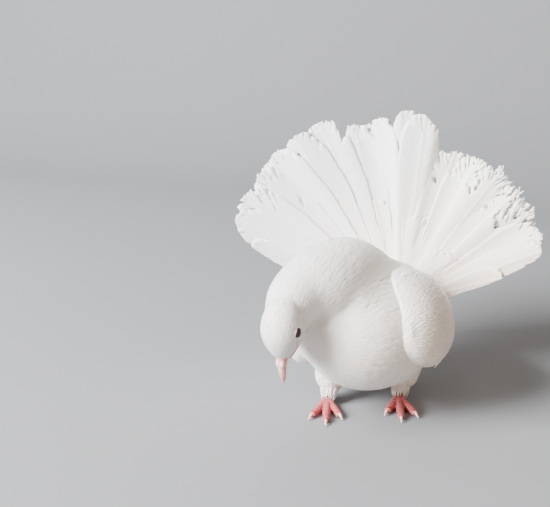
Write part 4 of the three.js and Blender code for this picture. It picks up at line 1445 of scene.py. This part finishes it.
def bill_half(name, upper, finish):
    """Upper or lower half of the bill, parted at the line of the mouth."""
    total = BILL["length"] + BILL["sunk"]
    t = np.linspace(0, 1, 34)[1:-1, None]
    turn = full_turn(36)[None, :]
    share = (1 - t**2.2) ** 0.75 * (1 - 0.25 * np.sin(math.pi * t))
    tall = np.where(np.sin(turn) > 0, BILL["crown"], BILL["chin"])
    centre = BILL_ROOT + BILL_WAY * (t * total)[..., None] - BILL_UP * (BILL["hook"] * t**3)[..., None]
    up = np.sin(turn) * tall * share
    out = np.cos(turn) * BILL["half_width"] * share
    rings = centre + BILL_UP * up[..., None] + HEAD_LEFT * out[..., None]
    tip = BILL_ROOT + BILL_WAY * total - BILL_UP * BILL["hook"]
    points, faces = loft(rings, BILL_ROOT, tip)
    item = mesh_object(name, placed(points), faces, finish)
    apart = MOUTH_HALF_GAP if upper else -MOUTH_HALF_GAP
    with reworked(item.data) as work:
        bmesh.ops.recalc_face_normals(work, faces=work.faces)
        sliced = bmesh.ops.bisect_plane(
            work, geom=[*work.verts, *work.edges, *work.faces],
            plane_co=placed(BILL_ROOT - MOUTH_LOW * BILL_UP + MOUTH_UP * apart), plane_no=MOUTH_UP,
            clear_inner=upper, clear_outer=not upper,
        )
        rim = [edge for edge in sliced["geom_cut"] if isinstance(edge, bmesh.types.BMEdge)]
        bmesh.ops.holes_fill(work, edges=rim, sides=0)
        bmesh.ops.triangulate(work, faces=[face for face in work.faces if len(face.verts) > 4])
    item.data.shade_smooth()
    item.data.set_sharp_from_angle(angle=math.radians(50))
    return item


# The cere's two lobes and the nostrils in them, from where the bill leaves the face
CERE = {"forward": 1.7, "up": 1.9, "out": 1.35}
CERE_HALF = np.array((3.4, 1.6, 1.75))
CERE_CELL = 0.3 * MM
NOSTRIL = {"forward": 4.4, "up": 1.3, "out": 3.0, "long": 1.5, "tall": 0.7, "deep": 0.8}


def cere_body(finish):
    """The soft powdery swelling over the nostrils, in two lobes."""
    lobes = []
    for side in SIDES:
        middle = on_bill(CERE["forward"], CERE["up"], side * CERE["out"])
        rings = middle + along_axes(ball_rings(14, 20) * CERE_HALF, BILL_WAY, BILL_UP, HEAD_LEFT)
        lobes.append(loft(rings, *(middle + way * BILL_WAY * CERE_HALF[0] for way in (1, -1))))
    points, faces = joined_pieces(lobes)
    item = remeshed("cere_skin", placed(points), faces, CERE_CELL)
    mesh = item.data
    points = relaxed(coordinates(mesh), edge_ends(mesh), 3, 0.5)
    for side in SIDES:
        off = points - placed(on_bill(NOSTRIL["forward"], NOSTRIL["up"], side * NOSTRIL["out"]))
        along = off @ BILL_WAY
        other = np.sqrt(np.maximum((off**2).sum(1) - along**2, 0))
        dent = np.exp(-((along / (NOSTRIL["long"] * MM)) ** 2) - (other / (NOSTRIL["tall"] * MM)) ** 2)
        points = points - HEAD_LEFT * side * (dent * NOSTRIL["deep"] * MM)[:, None]
    set_coordinates(mesh, points)
    mesh.materials.append(finish)
    return item


# Feet


def toe_way(side, name, turn):
    angle = math.radians(-90 - side * TOES[name][0] + turn)
    return np.array((math.cos(angle), math.sin(angle), 0.0))


def tube_body(line, radii, flat=None):
    """A closed tube round a line of points; radii is one row of radii for each point."""
    line = np.asarray(line, float)
    way = unit(np.gradient(line, axis=0))
    across = unit(np.cross(way, UP))
    deep = np.cross(across, way)
    turn = full_turn(radii.shape[1])
    rings = (
        line[1:-1, None]
        + across[1:-1, None] * (np.cos(turn) * radii[1:-1])[..., None]
        + deep[1:-1, None] * (np.sin(turn) * radii[1:-1])[..., None]
    )
    if flat is not None:
        rings[..., 2] = np.maximum(rings[..., 2], flat)
    return loft(rings, line[0], line[-1])


# A toe starts this far behind the joint and is this much longer than its length to the claw
TOE_BEHIND = 1.5
TOE_SPARE = 2.5

# How many scutes a toe of the given length has, and how many sides a toe and a shank have
SCUTES = 12
SCUTE_TOE = 24
TOE_SIDES = 20
CLAW_SIDES = 14
FOOT_CELL = 0.34 * MM


def scutes_at(t, length):
    """How many scutes of a toe lie behind t, which runs 0..1 along it."""
    return t * SCUTES * length / SCUTE_TOE


def toe_body(joint, way, length):
    """A toe: scutes over its top, pads below, swollen at its joints."""
    t = np.linspace(0, 1, 120)
    height = np.interp(t, (0, 0.3, 0.65, 1), (3.0, 2.7, 2.35, 1.9))
    line = joint * (1, 1, 0) + np.outer(-TOE_BEHIND + t * (length + TOE_SPARE), way)
    line = line + np.outer(height, UP)
    radius = TOE_RADIUS * (1 - 0.26 * t) * np.sqrt(np.clip(1 - ((t - 0.88) / 0.12).clip(0) ** 2, 0.02, 1))
    swell = 1 + 0.06 * np.cos(t * 2 * math.pi * 3.2)
    turn = full_turn(TOE_SIDES)
    top = np.clip(np.sin(turn) + 0.35, 0, 1)[None, :]
    scute = scutes_at(t, length) % 1
    ring = (0.34 * np.sqrt(np.sin(math.pi * np.clip(scute, 0.02, 0.98))) - 0.2)[:, None] * top
    under = 0.2 * np.sin(t * 2 * math.pi * 5)[:, None] * np.clip(-np.sin(turn), 0, 1)[None, :]
    return tube_body(line, (radius * swell)[:, None] + ring + under, 0.0)


def foot_body(name, finish):
    """Tarsus and four toes as one skin; toe_line says how many scutes lie behind each point."""
    joint, turn, side = FEET[name]
    joint = np.array(joint)
    t = np.linspace(0, 1, 60)[:, None]
    shank = joint + (1 - t) * SHANK + t * (1 - t) * SHANK_BOW
    ring = 0.22 * np.sin(t * 2 * math.pi * 6) ** 2
    toes = [(toe_way(side, toe, turn), length) for toe, (_, length) in TOES.items()]
    bodies = [tube_body(shank, 3.0 + 0.5 * t**3 + ring + np.zeros((1, TOE_SIDES)))]
    bodies += [toe_body(joint, way, length) for way, length in toes]
    points, faces = joined_pieces(bodies)
    item = remeshed("foot_skin_" + name, placed(points), faces, FOOT_CELL)
    mesh = item.data
    points = relaxed(coordinates(mesh), edge_ends(mesh), 1, 0.5)
    points[:, 2] = np.maximum(points[:, 2], 0)
    set_coordinates(mesh, points)
    local = (points / MM) - SHIFT - joint
    line, nearest = np.zeros(len(points)), np.full(len(points), np.inf)
    for way, length in toes:
        along = local @ way
        off = np.linalg.norm(local * (1, 1, 0) - along[:, None] * way, axis=1) + 9 * (along < 0)
        t = (along + TOE_BEHIND) / (length + TOE_SPARE)
        line = np.where(off < nearest, scutes_at(t, length), line)
        nearest = np.minimum(off, nearest)
    add_layers(mesh, toe_line=line)
    mesh.materials.append(finish)
    return item


def claw_body(name, toe, finish):
    joint, turn, side = FEET[name]
    t = np.linspace(0, 1, 26)
    along = TOES[toe][1] - 1.8 + t * (CLAW + 0.6)
    height = np.interp(t, (0, 0.45, 0.8, 1), (2.2, 2.6, 1.7, 0.35))
    height = np.convolve(np.pad(height, 3, mode="edge"), np.ones(7) / 7, "valid")
    line = np.array(joint) * (1, 1, 0) + np.outer(along, toe_way(side, toe, turn))
    line = line + np.outer(height, UP)
    radii = (1.15 * (1 - t**1.5) ** 0.8 + 0.16)[:, None] * np.ones((1, CLAW_SIDES))
    points, faces = tube_body(line, radii, 0.02)
    return mesh_object(f"claw_horn_{name}_{toe}", placed(points), faces, finish)


# Finishes of the bare parts


def skin_finish(name, first, second, scale, roughness, depth, **more):
    """Bare skin or horn: two colours that mix in soft blotches, with a fine grain."""
    finish, tree, shader = principled(name, roughness, **more)
    place = object_place(tree)
    blotch = stepped(tree, noise(tree, place, scale, 4.0), 0.35, 0.65)
    tree.links.new(mixed(tree, blotch, first, second), shader.inputs["Base Color"])
    bump(tree, shader, noise(tree, place, scale * 6, 3.0), depth)
    return finish


def eye_finish(colours):
    """A dark wet eye: black pupil, brown iris with fine spokes, darker at its rim."""
    finish, tree, shader = principled(
        "eye_wet", 0.12, Coat_Weight=0.45, Coat_Roughness=0.03, Specular_IOR_Level=0.35
    )
    off = attribute(tree, "off_axis", "Fac")
    spokes = noise(tree, object_place(tree), 900.0, 3.0)
    iris = mixed(tree, spokes, colours.iris, tuple(0.45 * value for value in colours.iris))
    dark = mixed(tree, stepped(tree, off, 0.4, 0.44), (0.003, 0.0025, 0.002), iris)
    rim = mixed(tree, stepped(tree, off, 0.8, 0.95), dark, (0.006, 0.004, 0.003))
    tree.links.new(rim, shader.inputs["Base Color"])
    return finish


def foot_finish(colours):
    """Deep pink toes whose scutes have paler edges, with whiter skin between them."""
    finish, tree, shader = principled(
        "foot_scutes", 0.42, Subsurface_Weight=0.2, Subsurface_Scale=0.002,
        Subsurface_Radius=(1.0, 0.35, 0.25),
    )
    place = object_place(tree)
    share = reckon(tree, "FRACT", attribute(tree, "toe_line", "Fac"))
    middle = reckon(tree, "ABSOLUTE", reckon(tree, "SUBTRACT", share, 0.5))
    skin = mixed(tree, noise(tree, place, 420.0, 3.0), colours.foot, colours.foot_dark)
    ringed = mixed(tree, stepped(tree, middle, 0.26, 0.42), skin, colours.foot_pale)
    height = add(tree, "ShaderNodeSeparateXYZ", place).outputs[2]
    high = reckon(tree, "MULTIPLY", stepped(tree, height, 0.0052, 0.0085), 0.55)
    low = reckon(tree, "MULTIPLY", stepped(tree, height, 0.0026, 0.0008), 0.6)
    pale = mixed(tree, reckon(tree, "MAXIMUM", high, low), ringed, colours.foot_pale)
    tree.links.new(pale, shader.inputs["Base Color"])
    bump(tree, shader, noise(tree, place, 2600.0, 2.0), 0.00015)
    return finish


def plain_finish(name, colour, roughness, scale):
    finish, tree, shader = principled(name, roughness)
    darker = tuple(value * 0.96 for value in colour)
    blotch = noise(tree, object_place(tree), scale, 4.0)
    tree.links.new(mixed(tree, blotch, colour, darker), shader.inputs["Base Color"])
    return finish


# Settings


def colour_property(name, description, value):
    return FloatVectorProperty(
        name=name, description=description, default=value, subtype="COLOR", min=0.0, max=1.0
    )


def length_property(name, description, value):
    return FloatProperty(name=name, description=description, default=value, unit="LENGTH", min=0.0)


def power_property(name, description, value):
    return FloatProperty(name=name, description=description, default=value, unit="POWER")


class PigeonColours(bpy.types.PropertyGroup):
    white: colour_property("White", "Plumage in plain light", (0.93, 0.925, 0.92))
    # The two tinted whites below are painted shade as well as the plumage's own tone: a cooler shade towards
    # the bird's right and a warmer one low on its left.
    cool_tone_and_shade: colour_property("Cool tone and shade", "Plumage on the bird's right", (0.86, 0.865, 0.93))
    warm_tone_and_shade: colour_property("Warm tone and shade", "Plumage low on the bird's left", (0.93, 0.8, 0.68))
    iris: colour_property("Iris", "The eye round its pupil", (0.03, 0.013, 0.008))
    lid: colour_property("Lid", "Bare rim of the eye", (0.86, 0.8, 0.77))
    bill: colour_property("Bill", "Horn of the bill", (0.68, 0.27, 0.26))
    bill_pale: colour_property("Pale bill", "Bill towards its tip and edges", (0.74, 0.43, 0.4))
    cere: colour_property("Cere", "Powdery skin over the nostrils", (0.8, 0.7, 0.67))
    foot: colour_property("Foot", "Scutes of the toes", (0.37, 0.036, 0.045))
    foot_dark: colour_property("Dark foot", "Deeper pink among the scutes", (0.25, 0.013, 0.025))
    foot_pale: colour_property("Pale foot", "Edges of the scutes and skin between", (0.56, 0.21, 0.2))
    gape: colour_property("Gape", "Bare fold from the mouth to the eye", (0.7, 0.52, 0.42))
    claw: colour_property("Claw", "Horn of the claws", (0.74, 0.57, 0.5))
    floor: colour_property("Floor", "Floor and backdrop", (0.22, 0.23, 0.245))


class PigeonPlumage(bpy.types.PropertyGroup):
    skin_cell: length_property("Skin cell", "Cell size of the skin's mesh", 0.0012)
    coat_depth: length_property("Coat depth", "How far the skin lies under the plumage", 0.0011)
    crease_fill: length_property("Crease fill", "Ball that fills the crease of neck and body", 0.024)
    body_spacing: length_property("Body spacing", "Least distance of feathers on the body", 0.00117)
    nape_spacing: length_property("Neck spacing", "Least distance of feathers on the neck", 0.00081)
    wing_spacing: length_property("Wing spacing", "Least distance of feathers on the wing arm", 0.00125)
    face_spacing: length_property("Face spacing", "Least distance of feathers on the face", 0.00044)
    feather_length: length_property("Feather length", "Length of the largest contour feather", 0.0135)
    seed: IntProperty(name="Seed", description="Start of the random draws", default=7, min=0)


class PigeonHead(bpy.types.PropertyGroup):
    lid_length: length_property("Lid length", "Half length of the eye's opening", 0.0035)
    lid_height: length_property("Lid height", "Half height of the eye's opening", 0.0027)
    lid_thickness: FloatProperty(
        name="Lid thickness", description="Thickness of the lids as a share of the usual",
        default=1.0, min=0.1,
    )


class PigeonStage(bpy.types.PropertyGroup):
    lens: FloatProperty(name="Lens", description="Focal length for a 36 mm film", default=59.5, min=1.0)
    key: power_property("Key light", "Power of the main light", 200.0)
    fill: power_property("Fill light", "Power of the fill light", 6.5)
    rim: power_property("Rim light", "Power of the light behind", 4.0)
    sky: FloatProperty(name="Sky", description="Strength of the even light", default=0.45, min=0.0)


# Operators


# How far past the set seed the draws of the wings and the legs start
SEED_STEPS = {"wings": 20, "legs": 40}


class PigeonStep:
    """What the operators share."""

    bl_options = {"REGISTER", "UNDO"}

    def colours(self, context):
        return context.scene.pigeon_colours

    def plumage(self, context):
        return context.scene.pigeon_plumage


class PIGEON_OT_skin(PigeonStep, bpy.types.Operator):
    """One skin over torso, neck, head, thighs and the tail's root, and one for each wing's arm"""

    bl_idname = "pigeon.skin"
    bl_label = "Skin"

    def execute(self, context):
        finish = plumage_finish("under_down", self.colours(context))
        skin = make_skin(self.plumage(context), finish)
        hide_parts(*FLESH)
        wings = [make_wing_skin(side, self.plumage(context), finish) for side in SIDES]
        for item in (skin, *wings):
            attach(item, "root")
        return {"FINISHED"}


# Each coat: its name, the skin under it, its region there, the spacing it takes and how its feathers
# stray from the lie
COATS = (
    ("face_feathers", "skin", "face_coat", "face_spacing", 0.12),
    ("neck_feathers", "skin", "nape_coat", "nape_spacing", 0.1),
    ("left_breast_feathers", "skin", "left_breast_coat", "body_spacing", 0.1),
    ("right_breast_feathers", "skin", "right_breast_coat", "body_spacing", 0.1),
    ("left_back_feathers", "skin", "left_back_coat", "body_spacing", 0.1),
    ("right_back_feathers", "skin", "right_back_coat", "body_spacing", 0.1),
    ("left_wing_coat", "wing_skin_left", "wing_coat", "wing_spacing", 0.1),
    ("right_wing_coat", "wing_skin_right", "wing_coat", "wing_spacing", 0.1),
)


class PIGEON_OT_contour_feathers(PigeonStep, bpy.types.Operator):
    """Small feathers over all the skin, laid along it from the bill to the tail and the feet"""

    bl_idname = "pigeon.contour_feathers"
    bl_label = "Contour feathers"

    def execute(self, context):
        plumage = self.plumage(context)
        finish = plumage_finish("contour_plumage", self.colours(context))
        draw = np.random.default_rng(plumage.seed)
        shapes = bpy.data.collections.new("Feather shapes")
        for k in range(FEATHER_SHAPES):
            shape = contour_feather(f"contour_feather_{k}", draw)
            context.scene.collection.objects.unlink(shape)
            shapes.objects.link(shape)
        tree = contour_tree()
        for number, (name, skin, region, spacing, stray) in enumerate(COATS):
            coat = bpy.data.objects.new(name, bpy.data.objects[skin].data.copy())
            context.scene.collection.objects.link(coat)
            coat.data.name = name
            modifier = coat.modifiers.new("Coat", "NODES")
            modifier.node_group = tree
            values = {
                "Feathers": shapes,
                "Region": region,
                "Spacing": getattr(plumage, spacing),
                "Length": plumage.feather_length,
                "Stray": stray,
                "Seed": plumage.seed + number,
                "Finish": finish,
            }
            for item in tree.interface.items_tree:
                if item.item_type == "SOCKET" and item.name in values:
                    modifier[item.identifier] = values[item.name]
            settle(coat)
            if not len(coat.data.polygons):
                raise RuntimeError(f"{name} has no feathers")
            coat.data.shade_smooth()
            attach(coat, "root")
        for shape in list(shapes.objects):
            bpy.data.objects.remove(shape)
        bpy.data.collections.remove(shapes)
        return {"FINISHED"}


class PIGEON_OT_tail(PigeonStep, bpy.types.Operator):
    """The tail fan: two rows of long worn feathers, with coverts over and under its root"""

    bl_idname = "pigeon.tail"
    bl_label = "Tail"

    def execute(self, context):
        finish = plumage_finish("flight_plumage", self.colours(context))
        rows = fan_rows(bpy.data.objects["skin"], self.plumage(context).seed, finish)
        for row in rows:
            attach(row, "root")
        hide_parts("tail")
        return {"FINISHED"}


class PIGEON_OT_wings(PigeonStep, bpy.types.Operator):
    """The folded wings' flight feathers and coverts, tier over tier"""

    bl_idname = "pigeon.wings"
    bl_label = "Wings"

    def execute(self, context):
        finish = plumage_finish("wing_plumage", self.colours(context))
        for side, name in SIDES.items():
            seed = self.plumage(context).seed + SEED_STEPS["wings"] + side
            wing = wing_feathers(bpy.data.objects["skin"], side, seed, finish)
            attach(wing, "root")
            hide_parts("wing_" + name)
        return {"FINISHED"}


class PIGEON_OT_legs(PigeonStep, bpy.types.Operator):
    """Loose feathers round the ankles"""

    bl_idname = "pigeon.legs"
    bl_label = "Leg tufts"

    def execute(self, context):
        finish = plumage_finish("contour_plumage", self.colours(context))
        seed = self.plumage(context).seed + SEED_STEPS["legs"]
        tufts = leg_tufts(bpy.data.objects["skin"], seed, finish)
        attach(tufts, "root")
        return {"FINISHED"}


class PIGEON_OT_head(PigeonStep, bpy.types.Operator):
    """Eyes with their bare rims, the two halves of the bill and the cere"""

    bl_idname = "pigeon.head"
    bl_label = "Eyes and bill"

    def execute(self, context):
        colours = self.colours(context)
        wet = eye_finish(colours)
        bare = {"second": colours.bill_pale, "scale": 700.0, "roughness": 0.5, "depth": 0.00008}
        lid = skin_finish("lid_skin", colours.lid, **bare)
        gape = skin_finish("gape_skin", colours.gape, **bare)
        for side, name in SIDES.items():
            ball = eyeball("eyeball_" + name, side, wet)
            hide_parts("eye_" + name)
            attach(ball, "root")
            rim = eyelids("eyelids_" + name, side, context.scene.pigeon_head, lid)
            fold = gape_fold("gape_" + name, side, gape)
            for piece in (rim, fold):
                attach(piece, "root")
        horn = skin_finish(
            "bill_horn", colours.bill, colours.bill_pale, scale=260.0, roughness=0.38, depth=0.00008,
            Subsurface_Weight=0.15, Subsurface_Scale=0.002,
        )
        for upper, node in ((True, "bill_upper"), (False, "bill_lower")):
            half = bill_half(node.replace("bill", "horn_bill"), upper, horn)
            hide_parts(node)
            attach(half, "root")
        cere = cere_body(skin_finish(
            "cere_powder", colours.cere, colours.bill_pale, scale=520.0, roughness=0.75, depth=0.0002
        ))
        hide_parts("cere")
        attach(cere, "root")
        return {"FINISHED"}


class PIGEON_OT_feet(PigeonStep, bpy.types.Operator):
    """Scaled feet in one skin each, and their claws"""

    bl_idname = "pigeon.feet"
    bl_label = "Feet"

    def execute(self, context):
        colours = self.colours(context)
        scutes = foot_finish(colours)
        horn = skin_finish(
            "claw_horn", colours.claw, colours.bill_pale, scale=400.0, roughness=0.35, depth=0.0001
        )
        for name in FEET:
            foot = foot_body(name, scutes)
            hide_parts("foot_" + name)
            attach(foot, "root")
            for toe in TOES:
                claw = claw_body(name, toe, horn)
                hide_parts(f"claw_{name}_{toe}")
                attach(claw, "root")
        return {"FINISHED"}


CAMERA_PLACE = np.array((136.4, -547.1, 267.2))
CAMERA_WAY = Vector((-0.33188, 0.9019, -0.27647))

# Each light, in metres: its setting's name, its place, its size and its colour
LIGHTS = (
    ("key", (-1.15, -1.1, 0.95), 0.9, (1.0, 0.99, 0.985)),
    ("fill", (1.2, -0.7, 0.5), 1.4, (1.0, 0.72, 0.5)),
    ("rim", (-0.4, 0.85, 1.2), 1.0, (1.0, 1.0, 1.0)),
)
LIGHTS_AIM = (0.0, 0.0, 0.08)
SKY_COLOUR = (1.0, 0.86, 0.72, 1.0)


def area_light(name, place, size, power, colour):
    light = bpy.data.lights.new(name, "AREA")
    light.energy, light.size, light.color = power, size, colour
    lamp = bpy.data.objects.new(name, light)
    lamp.location = place
    lamp.rotation_euler = (Vector(LIGHTS_AIM) - Vector(place)).to_track_quat("-Z", "Y").to_euler()
    bpy.context.scene.collection.objects.link(lamp)


class PIGEON_OT_stage(PigeonStep, bpy.types.Operator):
    """Grey floor and backdrop, soft lights and the camera"""

    bl_idname = "pigeon.stage"
    bl_label = "Stage"

    def execute(self, context):
        stage, scene = context.scene.pigeon_stage, context.scene
        width, front, back, rise, bend = 3.0, -2.0, 1.1, 2.2, 0.5
        turn = np.linspace(0, math.pi / 2, 16)
        profile = [(front, 0.0)]
        profile += [(back - bend + bend * math.sin(a), bend - bend * math.cos(a)) for a in turn]
        profile.append((back, rise))
        points = [(x, y, z) for y, z in profile for x in (-width, width)]
        faces = [(2 * i, 2 * i + 1, 2 * i + 3, 2 * i + 2) for i in range(len(profile) - 1)]
        grey = self.colours(context).floor
        finish = plain_finish("studio_floor", grey, roughness=0.9, scale=6.0)
        mesh_object("studio_floor", points, faces, finish)
        for name, place, size, colour in LIGHTS:
            area_light(name + "_light", place, size, getattr(stage, name), colour)
        world = bpy.data.worlds.new("Even light")
        world.use_nodes = True
        even = world.node_tree.nodes["Background"].inputs
        even["Strength"].default_value, even["Color"].default_value = stage.sky, SKY_COLOUR
        scene.world = world
        camera = bpy.data.objects.new("camera", bpy.data.cameras.new("camera"))
        camera.data.lens = stage.lens
        camera.location = placed(CAMERA_PLACE)
        camera.rotation_euler = CAMERA_WAY.to_track_quat("-Z", "Y").to_euler()
        camera.data.clip_start = 0.01
        scene.collection.objects.link(camera)
        scene.camera = camera
        return {"FINISHED"}


STEPS = (
    PIGEON_OT_skin,
    PIGEON_OT_contour_feathers,
    PIGEON_OT_tail,
    PIGEON_OT_wings,
    PIGEON_OT_legs,
    PIGEON_OT_head,
    PIGEON_OT_feet,
    PIGEON_OT_stage,
)
SETTINGS = {
    "pigeon_colours": PigeonColours,
    "pigeon_plumage": PigeonPlumage,
    "pigeon_head": PigeonHead,
    "pigeon_stage": PigeonStage,
}


class PIGEON_PT_panel(bpy.types.Panel):
    bl_idname = "PIGEON_PT_panel"
    bl_label = "Fantail pigeon"
    bl_space_type = "VIEW_3D"
    bl_region_type = "UI"
    bl_category = "Pigeon"

    def draw(self, context):
        for name, group in SETTINGS.items():
            box = self.layout.box()
            for setting in group.__annotations__:
                box.prop(getattr(context.scene, name), setting)
        for step in STEPS:
            self.layout.operator(step.bl_idname)


def register():
    for group in (*SETTINGS.values(), *STEPS, PIGEON_PT_panel):
        bpy.utils.register_class(group)
    for name, group in SETTINGS.items():
        setattr(bpy.types.Scene, name, PointerProperty(type=group))


def unregister():
    for name in SETTINGS:
        delattr(bpy.types.Scene, name)
    for group in (PIGEON_PT_panel, *reversed(STEPS), *SETTINGS.values()):
        bpy.utils.unregister_class(group)


def main():
    register()
    for step in STEPS:
        area, action = step.bl_idname.split(".")
        getattr(getattr(bpy.ops, area), action)()


if __name__ == "__main__":
    main()
